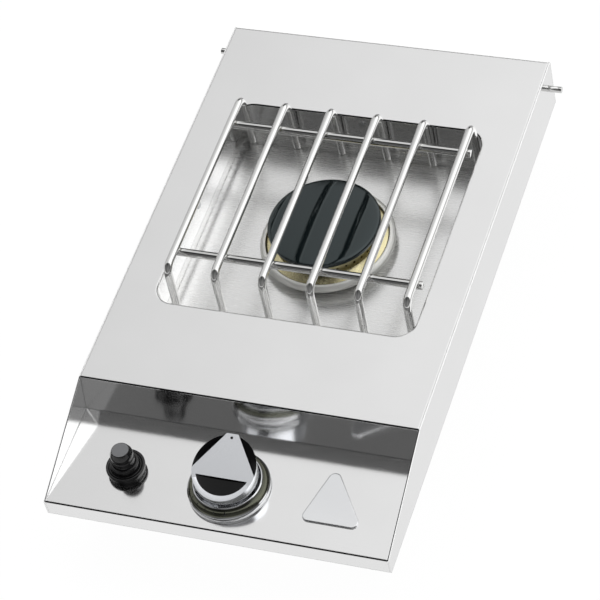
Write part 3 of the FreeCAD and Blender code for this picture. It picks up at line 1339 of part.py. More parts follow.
check_and_write()
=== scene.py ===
import math

import bmesh
import bpy
import numpy as np
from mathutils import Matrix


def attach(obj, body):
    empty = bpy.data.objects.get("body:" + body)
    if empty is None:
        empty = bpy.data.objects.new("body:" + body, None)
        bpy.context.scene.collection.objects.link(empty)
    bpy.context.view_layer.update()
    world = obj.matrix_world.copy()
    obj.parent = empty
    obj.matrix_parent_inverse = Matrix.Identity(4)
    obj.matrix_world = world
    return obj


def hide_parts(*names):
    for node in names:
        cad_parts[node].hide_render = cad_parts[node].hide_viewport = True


# Built in side burner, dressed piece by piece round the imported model.
# Lengths are metres; X runs right, Y to the rear, Z up from the burner box's bottom.

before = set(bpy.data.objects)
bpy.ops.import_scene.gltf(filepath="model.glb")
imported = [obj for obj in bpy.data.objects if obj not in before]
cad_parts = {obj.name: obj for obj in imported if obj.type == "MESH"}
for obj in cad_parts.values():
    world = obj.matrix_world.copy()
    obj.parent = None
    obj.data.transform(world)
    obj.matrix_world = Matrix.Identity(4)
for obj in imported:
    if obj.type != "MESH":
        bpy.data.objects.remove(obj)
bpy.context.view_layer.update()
scene = bpy.context.scene

# The studio
# A white sweep under the object, two soft lights that the steel doesn't mirror, and a sky that it
# does: bright high up and behind, dark low down and in front, which draws the edges of the sheet.

mm = 0.001
camera_data = bpy.data.cameras.new("camera")
camera_data.lens = 168.16
camera_data.sensor_width = 36
camera_data.clip_start = 0.1
camera_data.clip_end = 100
camera = bpy.data.objects.new("camera", camera_data)
camera.location = (0.83526, -1.52584, 2.07406)
camera.rotation_euler = [math.radians(angle) for angle in (39.89536, 9.49593, 17.91929)]
scene.collection.objects.link(camera)
scene.camera = camera
scene.view_settings.view_transform = "Standard"


def add(tree, kind, inputs=None, **settings):
    """Add one node with its settings, its input values and its links."""
    made = tree.nodes.new(kind)
    for key, value in settings.items():
        setattr(made, key, value)
    for key, value in (inputs or {}).items():
        if isinstance(value, bpy.types.NodeSocket):
            tree.links.new(value, made.inputs[key])
        else:
            made.inputs[key].default_value = value
    return made


def linear(code):
    """The linear colour of an sRGB hex code such as #D5D8DC."""
    channels = [int(code[i:i + 2], 16) / 255 for i in (1, 3, 5)]
    return [c / 12.92 if c <= 0.04045 else ((c + 0.055) / 1.055) ** 2.4 for c in channels] + [1]


def ramp(tree, value, start, end, low=0, high=1, **settings):
    """A value that runs from start to end, carried over to low and high and held there beyond."""
    return add(tree, "ShaderNodeMapRange", {
        "Value": value, "From Min": start, "From Max": end, "To Min": low, "To Max": high},
        **settings).outputs["Result"]


world = bpy.data.worlds.new("studio")
world.use_nodes = True
scene.world = world
tree = world.node_tree
tree.nodes.clear()
direction = add(tree, "ShaderNodeTexCoord").outputs["Generated"]
axes = add(tree, "ShaderNodeSeparateXYZ", {"Vector": direction})
behind = add(tree, "ShaderNodeVectorMath", {0: direction, 1: (0, 0.996, 0.09)}, operation="DOT_PRODUCT")
edge = ramp(tree, behind.outputs["Value"], -0.05, 0.05, interpolation_type="SMOOTHSTEP")
# To the right and the far left the bright part reaches lower and the dark part is less dark.
reach_down, side_glow = 0.42, 0.13
right = ramp(tree, axes.outputs["X"], -0.2, 0.1)
left = ramp(tree, axes.outputs["X"], -0.36, -0.5)
sides = add(tree, "ShaderNodeMath", {0: right, 1: left}, operation="ADD")
height = add(tree, "ShaderNodeMath", {0: sides.outputs[0], 1: reach_down, 2: axes.outputs["Z"]},
             operation="MULTIPLY_ADD")
above = ramp(tree, height.outputs[0], 0.48, 0.68, interpolation_type="SMOOTHSTEP")
inside = add(tree, "ShaderNodeMath", {0: edge, 1: above}, operation="MULTIPLY")
bright = ramp(tree, axes.outputs["X"], -0.4, 0.3, 0.72, 1.45)
shade = ramp(tree, axes.outputs["Y"], -0.8, -0.35, 0.12, 0.012)
dim = add(tree, "ShaderNodeMath", {0: sides.outputs[0], 1: side_glow, 2: shade}, operation="MULTIPLY_ADD")
light = add(tree, "ShaderNodeMix", {0: inside.outputs[0], 2: dim.outputs[0], 3: bright}, data_type="FLOAT")
sky = add(tree, "ShaderNodeBackground", {"Color": light.outputs["Result"]})
add(tree, "ShaderNodeOutputWorld", {"Surface": sky.outputs[0]})

floor_mesh = bpy.data.meshes.new("floor")
reach = 40
floor_mesh.from_pydata([(-reach, -reach, -mm), (reach, -reach, -mm), (reach, reach, -mm),
                        (-reach, reach, -mm)], [], [(0, 1, 2, 3)])
floor = bpy.data.objects.new("floor", floor_mesh)
scene.collection.objects.link(floor)
sweep = bpy.data.materials.new("white_sweep")
sweep.use_nodes = True
tree = sweep.node_tree
tree.nodes.clear()
path = add(tree, "ShaderNodeLightPath")
seen = add(tree, "ShaderNodeMath", {0: path.outputs["Is Camera Ray"], 1: path.outputs["Is Glossy Ray"]},
           operation="MAXIMUM")
seen = add(tree, "ShaderNodeMath", {0: seen.outputs[0], 1: path.outputs["Is Transmission Ray"]},
           operation="MAXIMUM")
glow_share = 0.96
part = add(tree, "ShaderNodeMath", {0: seen.outputs[0], 1: glow_share}, operation="MULTIPLY")
paper = add(tree, "ShaderNodeBsdfDiffuse", {"Color": (0.8, 0.8, 0.8, 1)})
strength = ramp(tree, path.outputs["Is Camera Ray"], 0, 1, 0.86, 1.02)
glow = add(tree, "ShaderNodeEmission", {"Color": (1, 1, 1, 1), "Strength": strength})
mixed = add(tree, "ShaderNodeMixShader", {0: part.outputs[0], 1: paper.outputs[0], 2: glow.outputs[0]})
add(tree, "ShaderNodeOutputMaterial", {"Surface": mixed.outputs[0]})
floor_mesh.materials.append(sweep)


def lamp(name, place, target, size, power):
    """A soft rectangular light at a place, turned towards a target and left out of reflections."""
    data = bpy.data.lights.new(name, "AREA")
    data.shape = "RECTANGLE"
    data.size, data.size_y = size
    data.energy = power
    made = bpy.data.objects.new(name, data)
    made.location = place
    back = np.array(place, float) - np.array(target, float)
    made.rotation_euler = (math.atan2(math.hypot(back[0], back[1]), back[2]), 0,
                           math.atan2(back[1], back[0]) + math.pi / 2)
    made.visible_glossy = False
    scene.collection.objects.link(made)


lamp("key", (-1.1, 0.9, 2.6), (0, 0, 0.1), (1.4, 1.4), 26)
lamp("strip", (2.2, 0.2, 0.9), (0, 0, 0.1), (0.25, 1.6), 7)

# Sheet metal casing
# Folded and welded 1.6 mm stainless steel, brushed along its length with a belt, so that
# it carries fine scratches and a soft reflection. The pan under the burner is the same steel.


def finish(name, colour, metallic, roughness, **sockets):
    """A material with one main shader whose constant values sit on its own sockets."""
    made = bpy.data.materials.new(name)
    made.use_nodes = True
    shader = made.node_tree.nodes["Principled BSDF"]
    shader.inputs["Base Color"].default_value = linear(colour)
    shader.inputs["Metallic"].default_value = metallic
    shader.inputs["Roughness"].default_value = roughness
    for key, value in sockets.items():
        shader.inputs[key.replace("_", " ")].default_value = value
    return made, made.node_tree, shader


def brushed(name, low, high, rough_low, rough_high, along, width=0.45, length=30.0, depth=0.02,
            drawn=0.6):
    """Brushed steel: long thin streaks, wide and long in millimetres, tint the metal between two
    colours and vary its roughness; real scratches are finer than the picture shows."""
    made, tree, shader = finish(name, low, 1, rough_low)
    place = add(tree, "ShaderNodeTexCoord")
    thin, long = 1000 / width, 1000 / length
    scale = (long, thin, thin) if along == "x" else (thin, long, thin)
    run = add(tree, "ShaderNodeMapping", {"Vector": place.outputs["Object"], "Scale": scale})
    streak = add(tree, "ShaderNodeTexNoise", {"Vector": run.outputs[0], "Scale": 1.0, "Detail": 3.0,
                                              "Roughness": 0.6})
    cloud = add(tree, "ShaderNodeTexNoise", {"Vector": place.outputs["Object"], "Scale": 14.0, "Detail": 2.0})
    both = add(tree, "ShaderNodeMath", {0: streak.outputs[0], 1: cloud.outputs[0]}, operation="ADD")
    level = ramp(tree, both.outputs[0], 0.7, 1.3)
    tint = add(tree, "ShaderNodeMix", {0: level, 6: linear(low), 7: linear(high)}, data_type="RGBA")
    rough = ramp(tree, streak.outputs[0], 0.3, 0.7, rough_low, rough_high)
    bend = add(tree, "ShaderNodeBevel", {"Radius": 1.8 * mm}, samples=4)
    # The axis leans a little, so that it is square to no face and the grain has a direction on each.
    axis = (1, 0.02, 0) if along == "x" else (0.02, 1, 0)
    grain = add(tree, "ShaderNodeVectorMath", {0: bend.outputs["Normal"], 1: axis}, operation="CROSS_PRODUCT")
    bump = add(tree, "ShaderNodeBump", {"Height": streak.outputs[0], "Strength": depth, "Distance": 0.0001,
                                        "Normal": bend.outputs["Normal"]})
    tree.links.new(grain.outputs[0], shader.inputs["Tangent"])
    shader.inputs["Anisotropic"].default_value = drawn
    # The shelf's rounded front fold shows a dark line, a dark reflection that is painted here as a dark
    # colour. Every fold that leans forward and up gets this painted reflection, also the deck's front fold,
    # which shows none.
    facing = add(tree, "ShaderNodeNewGeometry")
    normal = add(tree, "ShaderNodeSeparateXYZ", {"Vector": facing.outputs["Normal"]})
    slant = add(tree, "ShaderNodeMath", {0: normal.outputs["Y"], 1: normal.outputs["Z"]},
                operation="MULTIPLY")
    painted_dark_reflection_mask = add(tree, "ShaderNodeMath", {0: slant.outputs[0], 1: -0.25}, operation="LESS_THAN")
    painted_dark_reflection = add(tree, "ShaderNodeMix", {0: painted_dark_reflection_mask.outputs[0], 6: tint.outputs[2], 7: linear("#3A3A3B")},
                data_type="RGBA")
    tree.links.new(painted_dark_reflection.outputs[2], shader.inputs["Base Color"])
    tree.links.new(rough, shader.inputs["Roughness"])
    tree.links.new(bump.outputs[0], shader.inputs["Normal"])
    return made


def dress(material, *nodes):
    """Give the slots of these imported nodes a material."""
    for node in nodes:
        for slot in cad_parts[node].material_slots:
            slot.material = material


# These sheet steels carry a painted dark reflection on every face that leans forward and up.
deck_steel = brushed("stainless_sheet_brushed", "#F0F0F0", "#F4F4F4", 0.09, 0.13, "x")
dress(deck_steel, "deck_panel", "control_panel")
side_steel = brushed("stainless_side_brushed", "#F0F0F0", "#F4F4F4", 0.09, 0.13, "y")
dress(side_steel, "side_panel_left", "side_panel_right")
pan_steel = brushed("stainless_sheet_pressed", "#EFEFEF", "#F4F4F3", 0.24, 0.3, "x", depth=0.008,
                    drawn=0.2)
dress(pan_steel, "burner_pan")

# Burner box
# Plain galvanised sheet folded round the valve and the pipe; mill finish with a dull mottled bloom.

galvanised, tree, shader = finish("galvanised_sheet", "#B4B6B8", 1, 0.38)
place = add(tree, "ShaderNodeTexCoord")
bloom = add(tree, "ShaderNodeTexVoronoi", {"Vector": place.outputs["Object"], "Scale": 90.0})
tint = add(tree, "ShaderNodeMix", {0: bloom.outputs["Color"], 6: linear("#A9ABAE"), 7: linear("#BDBFC1")},
           data_type="RGBA")
rough = ramp(tree, bloom.outputs["Distance"], 0, 1, 0.32, 0.46)
tree.links.new(tint.outputs[2], shader.inputs["Base Color"])
tree.links.new(rough, shader.inputs["Roughness"])
dress(galvanised, "box_wrap", "box_side_left", "box_side_right")

# Fasteners
# Zinc-plated screws, nuts, clips and springs, bright with a faint grain from the plating bath.


def speckled(name, low, high, metallic, rough_low, rough_high, grain, **sockets):
    """A finish whose colour and roughness vary over grains of a size in millimetres."""
    made, tree, shader = finish(name, low, metallic, rough_low, **sockets)
    place = add(tree, "ShaderNodeTexCoord")
    spots = add(tree, "ShaderNodeTexNoise", {"Vector": place.outputs["Object"], "Scale": 1000 / grain,
                                             "Detail": 4.0})
    tint = add(tree, "ShaderNodeMix", {0: spots.outputs[0], 6: linear(low), 7: linear(high)},
               data_type="RGBA")
    rough = ramp(tree, spots.outputs[0], 0.3, 0.7, rough_low, rough_high)
    tree.links.new(tint.outputs[2], shader.inputs["Base Color"])
    tree.links.new(rough, shader.inputs["Roughness"])
    return made


plated = speckled("zinc_plated_steel", "#C2C4C6", "#D2D3D4", 1, 0.18, 0.3, 1.5)
dress(plated, "pan_screws", "burner_screws", "bonnet_screws", "valve_nut", "pipe_nuts", "inlet_locknut",
      "lid_pin_nuts", "badge_nuts", "knob_clip", "electrode_clip", "valve_spring", "igniter_spring")

# Lid pins
# Two turned stainless pins with broken edges, screwed through the side skirts near the rear.


def wiped(name, colour, middle, rough_low, rough_high, scale, detail):
    """Plain bright metal of a middle roughness, which a noise varies as wiping or plating leaves it."""
    made, tree, shader = finish(name, colour, 1, middle)
    place = add(tree, "ShaderNodeTexCoord")
    wipe = add(tree, "ShaderNodeTexNoise", {"Vector": place.outputs["Object"], "Scale": scale,
                                            "Detail": detail})
    rough = ramp(tree, wipe.outputs[0], 0.3, 0.7, rough_low, rough_high)
    tree.links.new(rough, shader.inputs["Roughness"])
    return made


polished = wiped("stainless_polished", "#DEDEDD", 0.07, 0.05, 0.11, 120.0, 3.0)


def build(name, body, points, faces, materials, picks=None):
    """A smooth closed piece from numpy points and faces, which rides on a body."""
    mesh = bpy.data.meshes.new(name)
    mesh.from_pydata(np.asarray(points).tolist(), [], [list(map(int, face)) for face in faces])
    for material in materials:
        mesh.materials.append(material)
    if picks is not None:
        mesh.polygons.foreach_set("material_index", np.asarray(picks, np.int32))
    work = bmesh.new()
    work.from_mesh(mesh)
    bmesh.ops.remove_doubles(work, verts=work.verts, dist=1e-7)
    bmesh.ops.recalc_face_normals(work, faces=work.faces)
    work.to_mesh(mesh)
    work.free()
    mesh.shade_smooth()
    made = bpy.data.objects.new(name, mesh)
    scene.collection.objects.link(made)
    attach(made, body)
    return made


def rounded(corners, steps=6):
    """A profile of (radius, height, fillet) corners in millimetres: each corner with a fillet becomes
    an arc that leaves and meets its two lines at the same distance, as a quadratic curve."""
    points = []
    for i, (r, z, fillet) in enumerate(corners):
        here = np.array([r, z], float)
        if fillet == 0 or i in (0, len(corners) - 1):
            points.append(here)
            continue
        before = np.array(corners[i - 1][:2], float) - here
        after = np.array(corners[i + 1][:2], float) - here
        start = here + before / np.linalg.norm(before) * fillet
        end = here + after / np.linalg.norm(after) * fillet
        t = np.linspace(0, 1, steps)[:, None]
        points.extend((1 - t) ** 2 * start + 2 * t * (1 - t) * here + t ** 2 * end)
    return np.array(points)


def grid_faces(rows, columns, wrap):
    """Quads of a grid of rows and columns; the columns join up when wrap is true."""
    across = columns if wrap else columns - 1
    row, column = np.meshgrid(np.arange(rows - 1), np.arange(across), indexing="ij")
    beside = (column + 1) % columns
    return np.stack([row * columns + column, row * columns + beside,
                     (row + 1) * columns + beside, (row + 1) * columns + column], -1).reshape(-1, 4)


def turned(name, body, corners, centre, material, around=96, axis="z"):
    """A turned piece: its closed profile of radius and height, carried round an axis through centre."""
    profile = rounded(corners + corners[:1]) if corners[0][:2] != corners[-1][:2] else rounded(corners)
    angle = np.linspace(0, 2 * math.pi, around, endpoint=False)
    r, h = profile[:, :1], profile[:, 1:]
    across, up = r * np.cos(angle), r * np.sin(angle)
    rise = np.repeat(h, around, 1)
    order = (across, up, rise) if axis == "z" else (rise, across, up)
    points = np.stack(order, -1).reshape(-1, 3) * mm + np.array(centre) * mm
    return build(name, body, points, grid_faces(len(profile), around, True), [material])


pin_centre = (0, 270, 92.4)
for label, side in (("left", -1), ("right", 1)):
    pin = turned("lid_pin_" + label + "_turned", "casing", [
        (0, 158 * side, 0), (2.4, 158 * side, 0), (2.4, 165 * side, 0), (3.175, 165 * side, 0),
        (3.175, 178.5 * side, 0.5), (0, 178.5 * side, 0)], pin_centre, polished, 48, "x")
    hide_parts("lid_pin_" + label)

# Grate
# Six 8 mm polished stainless rods bent down at both ends, welded across two straight rods.

rod_radius = 3.985
rod_height = 132.0
bend_radius = 9.0
lean = math.radians(2.2)
pan_floor, seat_gap = 67.0, 0.3
foot_height = pan_floor + seat_gap + rod_radius * math.sin(lean)
foot_reach = 224.9 / 2
well_rear, rod_half, wall_gap = 185, 4, 3.45
grate_middle = well_rear - rod_half - wall_gap - foot_reach


def tube(path, radius, around=32, round_end=0.6):
    """A round tube along a path in millimetres, which lies in a plane across X or runs along X: each
    ring is square to the path, and the ends close over a small rounding."""
    path = np.asarray(path, float)
    step = np.gradient(path, axis=0)
    step /= np.linalg.norm(step, axis=1)[:, None]
    side = np.array([1.0, 0, 0]) if abs(step[0][0]) < 0.5 else np.array([0, 1.0, 0])
    other = np.cross(step, side)
    angle = np.linspace(0, 2 * math.pi, around, endpoint=False)
    ring = np.cos(angle)[:, None] * side + np.sin(angle)[:, None] * other[:, None]
    rings = list(path[:, None] + ring * radius)
    turn = np.linspace(0, math.pi / 2, 5)[1:]
    inward, thinner = round_end * (1 - np.sin(turn)), round_end * (1 - np.cos(turn))
    start = [path[0] + step[0] * i + ring[0] * (radius - t) for i, t in zip(inward, thinner)]
    end = [path[-1] - step[-1] * i + ring[-1] * (radius - t) for i, t in zip(inward, thinner)]
    rings[0] = path[0] + step[0] * round_end + ring[0] * radius
    rings[-1] = path[-1] - step[-1] * round_end + ring[-1] * radius
    first, last = np.repeat(path[:1], around, 0), np.repeat(path[-1:], around, 0)
    rings = [first] + start[::-1] + rings + end + [last]
    return np.array(rings).reshape(-1, 3), grid_faces(len(rings), around, True)


def bent_path(x):
    """Foot, lean leg, round bend and the run to the middle, then the same mirrored to the rear."""
    rise = rod_height - foot_height
    corner = -foot_reach + rise * math.tan(lean)
    cut = bend_radius * math.tan((math.pi / 2 - lean) / 2)
    turn = np.linspace(0, math.pi / 2 - lean, 14)
    centre = np.array([corner + cut, rod_height - bend_radius])
    bend = centre + bend_radius * np.stack([-np.cos(lean + turn), np.sin(lean + turn)], 1)
    leg = np.linspace([-foot_reach, foot_height], bend[0], 9)[:-1]
    run = np.linspace(bend[-1], [0, rod_height], 12)[1:]
    half = np.concatenate([leg, bend, run])
    whole = np.concatenate([half, (half * [-1, 1])[::-1][1:]])
    return np.column_stack([np.full(len(whole), x), whole[:, 0] + grate_middle, whole[:, 1]])


rod_count, rod_pitch = 6, 47.1
rod_places = [rod_pitch * (i - (rod_count - 1) / 2) for i in range(rod_count)]
for number, x in enumerate(rod_places, 1):
    points, faces = tube(bent_path(x), rod_radius)
    rod = build(f"bent_rod_{number}", "grate", points * mm, faces, [polished])
    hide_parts(f"grate_rod_{number}")
weld, tree, shader = finish("stainless_weld", "#C9C8C5", 1, 0.2)
place = add(tree, "ShaderNodeTexCoord")
ripple = add(tree, "ShaderNodeTexNoise", {"Vector": place.outputs["Object"], "Scale": 900.0, "Detail": 2.0})
bump = add(tree, "ShaderNodeBump", {"Height": ripple.outputs[0], "Strength": 0.4, "Distance": 0.0004})
tree.links.new(bump.outputs[0], shader.inputs["Normal"])
bead_rows, bead_around, bead_radius, bead_rise = 9, 16, 3.4, 1.7
u, v = np.meshgrid(np.linspace(0, math.pi, bead_rows),
                   np.linspace(0, 2 * math.pi, bead_around, endpoint=False), indexing="ij")
bead = np.stack([np.sin(u) * np.cos(v) * bead_radius, np.sin(u) * np.sin(v) * bead_radius,
                 np.cos(u) * bead_rise], -1).reshape(-1, 3)
cross_reach, cross_shift, cross_drop, weld_drop = 124.5, 82.5, 8, 4
cross_height = rod_height - cross_drop
for label, shift in (("front", -cross_shift), ("rear", cross_shift)):
    y = grate_middle + shift
    span = np.linspace([-cross_reach, y, cross_height], [cross_reach, y, cross_height], 40)
    points, faces = tube(span, rod_radius)
    bar = build("straight_rod_" + label, "grate", points * mm, faces, [polished])
    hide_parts("cross_rod_" + label)
    spots = np.concatenate([bead + [x, y, rod_height - weld_drop] for x in rod_places])
    skins = [grid_faces(bead_rows, bead_around, True) + i * len(bead) for i in range(rod_count)]
    beads = build("weld_beads_" + label, "grate", spots * mm, np.concatenate(skins), [weld])

# Burner
# A cast bowl under the pan, a turned brass ring with its gas ports, a pressed cap in black glass
# enamel, and a spun collar round them that keeps spills out.

burner = (0, 59.5, 67)
spun, tree, shader = finish("stainless_spun", "#EAEAE6", 0.7, 0.36)
place = add(tree, "ShaderNodeTexCoord")
centred = add(tree, "ShaderNodeMapping", {"Vector": place.outputs["Object"],
                                          "Location": (0, -burner[1] * mm, 0)})
rings = add(tree, "ShaderNodeTexWave", {"Vector": centred.outputs[0], "Scale": 260.0, "Distortion": 0.6,
                                        "Detail": 1.0}, wave_type="RINGS", rings_direction="Z")
tree.links.new(ramp(tree, rings.outputs["Fac"], 0, 1, 0.36, 0.46), shader.inputs["Roughness"])
collar = turned("drip_collar", "casing", [
    (58.5, 0, 0), (66.4, 9, 1.2), (65.4, 11, 1), (62.4, 13.6, 1.2), (60.2, 14, 0.6), (60.2, 10, 0.3),
    (61.2, 10, 0.3), (61.2, 12.7, 0.4), (64.8, 8, 1), (57.2, 0, 0)], burner, spun, 160)
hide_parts("drip_ring")

enamel, tree, shader = finish("black_glass_enamel", "#0C1315", 0, 0.07, IOR=1.62,
                              Specular_Tint=(0.84, 0.98, 1, 1))
place = add(tree, "ShaderNodeTexCoord")
flow = add(tree, "ShaderNodeTexNoise", {"Vector": place.outputs["Object"], "Scale": 160.0, "Detail": 2.0})
bump = add(tree, "ShaderNodeBump", {"Height": flow.outputs[0], "Strength": 0.04, "Distance": 0.0003})
tree.links.new(bump.outputs[0], shader.inputs["Normal"])
lid = turned("enamelled_cap", "burner_cap", [
    (0, 29.5, 0), (36, 29.5, 0), (36, 25.5, 0), (39.7, 25.5, 0), (39.7, 29.5, 0), (53.9, 29.5, 0),
    (54.6, 30.2, 0.5), (54.6, 33.8, 0.9), (53, 34.9, 2), (47, 35.6, 4), (28, 36.6, 9), (0, 37, 0)],
    burner, enamel, 160)
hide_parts("burner_cap")

brass = speckled("brass_turned", "#CFC598", "#DDD5B0", 1, 0.18, 0.3, 2.5)
dress(brass, "flame_ring", "valve_plug", "valve_stem", "valve_body", "valve_bonnet", "gas_jet", "gas_inlet")
iron = speckled("cast_iron_raw", "#4A4A4B", "#5E5D5B", 1, 0.5, 0.7, 1.2)
dress(iron, "burner_bowl")
bright_tube = speckled("steel_tube_bright", "#B9BABB", "#C9CACB", 1, 0.22, 0.34, 3.0)
dress(bright_tube, "mixer_tube", "air_shutter", "electrode_pin")
ceramic = speckled("alumina_glazed", "#E6E1D3", "#F1EEE4", 0, 0.12, 0.22, 1.0, IOR=1.6)
dress(ceramic, "electrode_ceramic")

# Gas supply and ignition lead
# Soft copper pipe with flare nuts, a silicone lead and nylon clips, all inside the box.

copper = speckled("copper_tube", "#B87A52", "#C98D63", 1, 0.22, 0.36, 4.0)
dress(copper, "supply_pipe")
silicone = speckled("silicone_rubber", "#7A1D16", "#8A2820", 0, 0.5, 0.62, 0.8)
dress(silicone, "ignition_lead")
nylon = speckled("nylon_grey", "#4E4F51", "#5A5B5D", 0, 0.42, 0.55, 0.8)
dress(nylon, "lead_clips")
jacket = speckled("cell_jacket_bare", "#1B1D20", "#26282B", 0, 0.3, 0.38, 1.0)
dress(jacket, "battery")

# Dial bezel
# A chromed zinc cone clamped on the shelf. A dark plated band on its slope carries black dots
# and a flame drop for the settings.

control = (0, -237, 76)
chrome = wiped("chrome_plated_zinc", "#D3D4D6", 0.06, 0.05, 0.12, 260.0, 2.0)
bezel_radius, bezel_rim = 38.3, 4.5
bezel_crest, bezel_height = 31.6, 12
dial = turned("dial_bezel", "casing", [
    (8.2, 0, 0), (bezel_radius, 0, 0), (bezel_radius, bezel_rim, 0.6), (bezel_crest, bezel_height, 0.35),
    (30.8, bezel_height, 0.3), (30.8, 3, 0), (8.2, 3, 0)], control, chrome, 160)
dark_plate = speckled("dark_plated_dial", "#55564C", "#66675B", 1, 0.16, 0.24, 1.5)
scale_ring = turned("dial_scale", "casing", [
    (37.3, 5.62, 0), (37.3, 5.66, 0), (32.2, 11.37, 0), (32.2, 11.33, 0)], control, dark_plate, 160)
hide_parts("bezel")
ink = speckled("black_fill", "#0C0C0C", "#161616", 0, 0.25, 0.4, 0.5)
cone_drop = (bezel_height - bezel_rim) / (bezel_radius - bezel_crest)
paint_lift, paint_depth = 0.09, 0.2
outline_points = 24


def on_cone(angle, radius, across, along):
    """A point of the bezel's cone at an angle from the rear and a radius, moved across and along it,
    and lifted a little so that the paint lies on the dark band."""
    r = radius + along
    turn = np.radians(angle) + across / radius
    height = bezel_rim + (bezel_radius - r) * cone_drop + paint_lift
    return np.stack([r * np.sin(turn), r * np.cos(turn), height], -1)


def mark(angle, radius, width, length, point):
    """The outline of one painted mark: a round dot, or a drop whose inner end runs to a point."""
    turn = np.linspace(0, 2 * math.pi, outline_points, endpoint=False)
    slim = 1 - point * np.clip(-np.cos(turn), 0, 1)
    return on_cone(angle, radius, np.sin(turn) * width * slim, np.cos(turn) * length)


marks, faces = [], []
dot_radius = 0.62
settings = [(-101, 33.9), (-115, 34.3), (-130.5, 34.3), (-145.5, 34.4), (-162, 34.5), (-177, 34.7)]
for angle, radius in settings:
    marks.append(mark(angle, radius, dot_radius, dot_radius, 0))
marks.append(mark(angle=166, radius=34.9, width=0.85, length=1.5, point=0.85))
for number, outline in enumerate(marks):
    marks[number] = np.concatenate([outline, outline - [0, 0, paint_depth]])
    upper = number * 2 * outline_points
    lower = upper + outline_points
    faces.append(range(upper, lower))
    faces.append(range(lower, lower + outline_points))
    for i in range(outline_points):
        after = (i + 1) % outline_points
        faces.append([upper + i, upper + after, lower + after, lower + i])
dots = build("bezel_marks", "casing", (np.concatenate(marks) + control) * mm, faces, [ink])

# Control knob
# Die-cast zinc with a satin plating; a sloping triangular top, three finger scoops in gloss black,
# and a pointer nose at the rear with a black dot.

satin = wiped("satin_plated_zinc", "#EBEDF1", 0.2, 0.18, 0.26, 1500.0, 3.0)
gloss_black = speckled("gloss_black_paint", "#060607", "#0A0A0B", 0, 0.1, 0.16, 3.0, IOR=1.3)

top_axis, top_slope = 29.06, 0.3123
wall_low, wall_high = 29.3, 30.4
underside, crest = 13.6, 38.9
nose, nose_tip, nose_low = 5.5, 31.5, 17.4
scoop_depth, scoop_wide, scoop_low, scoop_back = 2.4, 26.2, 24.6, 8.6
side_x, side_back = 30.1, 3.4
rear_radius, front_radius, rim_dip = 30.35, 29.9, 0.7


def wall_radius(height):
    """The slightly flaring side of the knob at a height above the shelf."""
    return wall_low + (wall_high - wall_low) * (height - underside) / (crest - underside)


def top_height(s):
    """The sloping top plane at a distance s behind the axis."""
    return top_axis + top_slope * s


def rim(angle):
    """Where the flaring wall meets the sloping top. Each depends on the other, so the sum is repeated
    until it settles."""
    radius = np.full_like(angle, 30.0)
    for _ in range(6):
        radius = wall_radius(top_height(radius * np.cos(angle)))
    return np.stack([radius * np.sin(angle), radius * np.cos(angle)], -1)


nose_angle = math.asin(nose / rear_radius)
side_angle = math.atan2(side_x, -side_back)
back_angle = math.pi - math.asin(math.sqrt(1 - (scoop_back / front_radius) ** 2))
scoop_steps, front_steps, low_steps = 26, 6, 40
scoop_arc = np.linspace(nose_angle, side_angle, scoop_steps)
shoulder_arc = np.linspace(side_angle, back_angle, front_steps)
front_arc = np.linspace(back_angle, 2 * math.pi - back_angle, low_steps)
right = np.concatenate([scoop_arc, shoulder_arc[1:]])
whole = np.concatenate([right, front_arc[1:-1], (2 * math.pi - right)[::-1]])
edge = rim(whole)
chord = (whole <= side_angle + 1e-9) | (whole >= 2 * math.pi - side_angle - 1e-9)
past_nose = np.where(whole <= math.pi, whole - nose_angle, 2 * math.pi - nose_angle - whole)
share = past_nose / (side_angle - nose_angle)
dip = np.where(chord, rim_dip * np.sin(np.clip(share, 0, 1) * math.pi) ** 0.5, 0)
edge_top = np.column_stack([edge, top_height(edge[:, 1]) - dip])


def wall_ring(height):
    """One ring of the wall at a level height."""
    r = wall_radius(height)
    return np.column_stack([r * np.sin(whole), r * np.cos(whole), np.full(len(whole), height)])


def flat(points):
    """Knob points in plan lifted on the sloping top."""
    points = np.asarray(points, float)
    return np.column_stack([points, top_height(points[:, 1])])


columns = len(whole)
vertices = [wall_ring(underside), wall_ring(nose_low), edge_top]
knob_faces, knob_picks = [], []
SATIN, BLACK = 0, 1


def store(points):
    """Keep a block of knob points and say where it starts."""
    start = sum(len(block) for block in vertices)
    vertices.append(np.asarray(points, float))
    return start


def lay(faces, pick):
    """Keep faces of one finish."""
    knob_faces.extend([list(map(int, face)) for face in faces])
    knob_picks.extend([pick] * len(faces))


for level in (0, 1):
    lay(grid_faces(2, columns, False) + level * columns, SATIN)
# The pointer nose fills the gap in the wall at the rear and stands out beyond it.
nose_start = store([
    [-nose, nose_tip, nose_low], [nose, nose_tip, nose_low],
    [-nose, nose_tip, top_height(nose_tip)], [nose, nose_tip, top_height(nose_tip)]])
left_low, right_low, left_top, right_top = range(nose_start, nose_start + 4)
last = columns - 1
lay([[last, 0, columns, columns + last]], SATIN)
lay([[columns + last, columns, right_low, left_low]], SATIN)
lay([[left_low, right_low, right_top, left_top]], SATIN)
lay([[columns, 2 * columns, right_top, right_low]], SATIN)
lay([[columns + last, left_low, left_top, 2 * columns + last]], SATIN)

scoop_rows = 7


def scoop(line, outer):
    """Lay a black scoop between a line on the top and as many points of its outer edge: its depth goes
    as the sine along the line to the power 0.4, and as the way left to the edge to the power 0.8."""
    count = len(line)
    t = np.linspace(0, 1, count)
    across = np.linspace(0, 1, scoop_rows)[:, None]
    plan = line[None] * (1 - across[..., None]) + outer[None] * across[..., None]
    plan[..., 2] -= scoop_depth * np.sin(t * math.pi) ** 0.4 * (1 - across) ** 0.8
    plan[-1] = outer
    line_start, dish_start = store(line), store(plan.reshape(-1, 3))
    step = np.arange(count - 1)
    lay(np.stack([line_start + step, line_start + step + 1, dish_start + step + 1, dish_start + step], -1),
        BLACK)
    lay(grid_faces(scoop_rows, count, False) + dish_start, BLACK)
    return line_start, dish_start


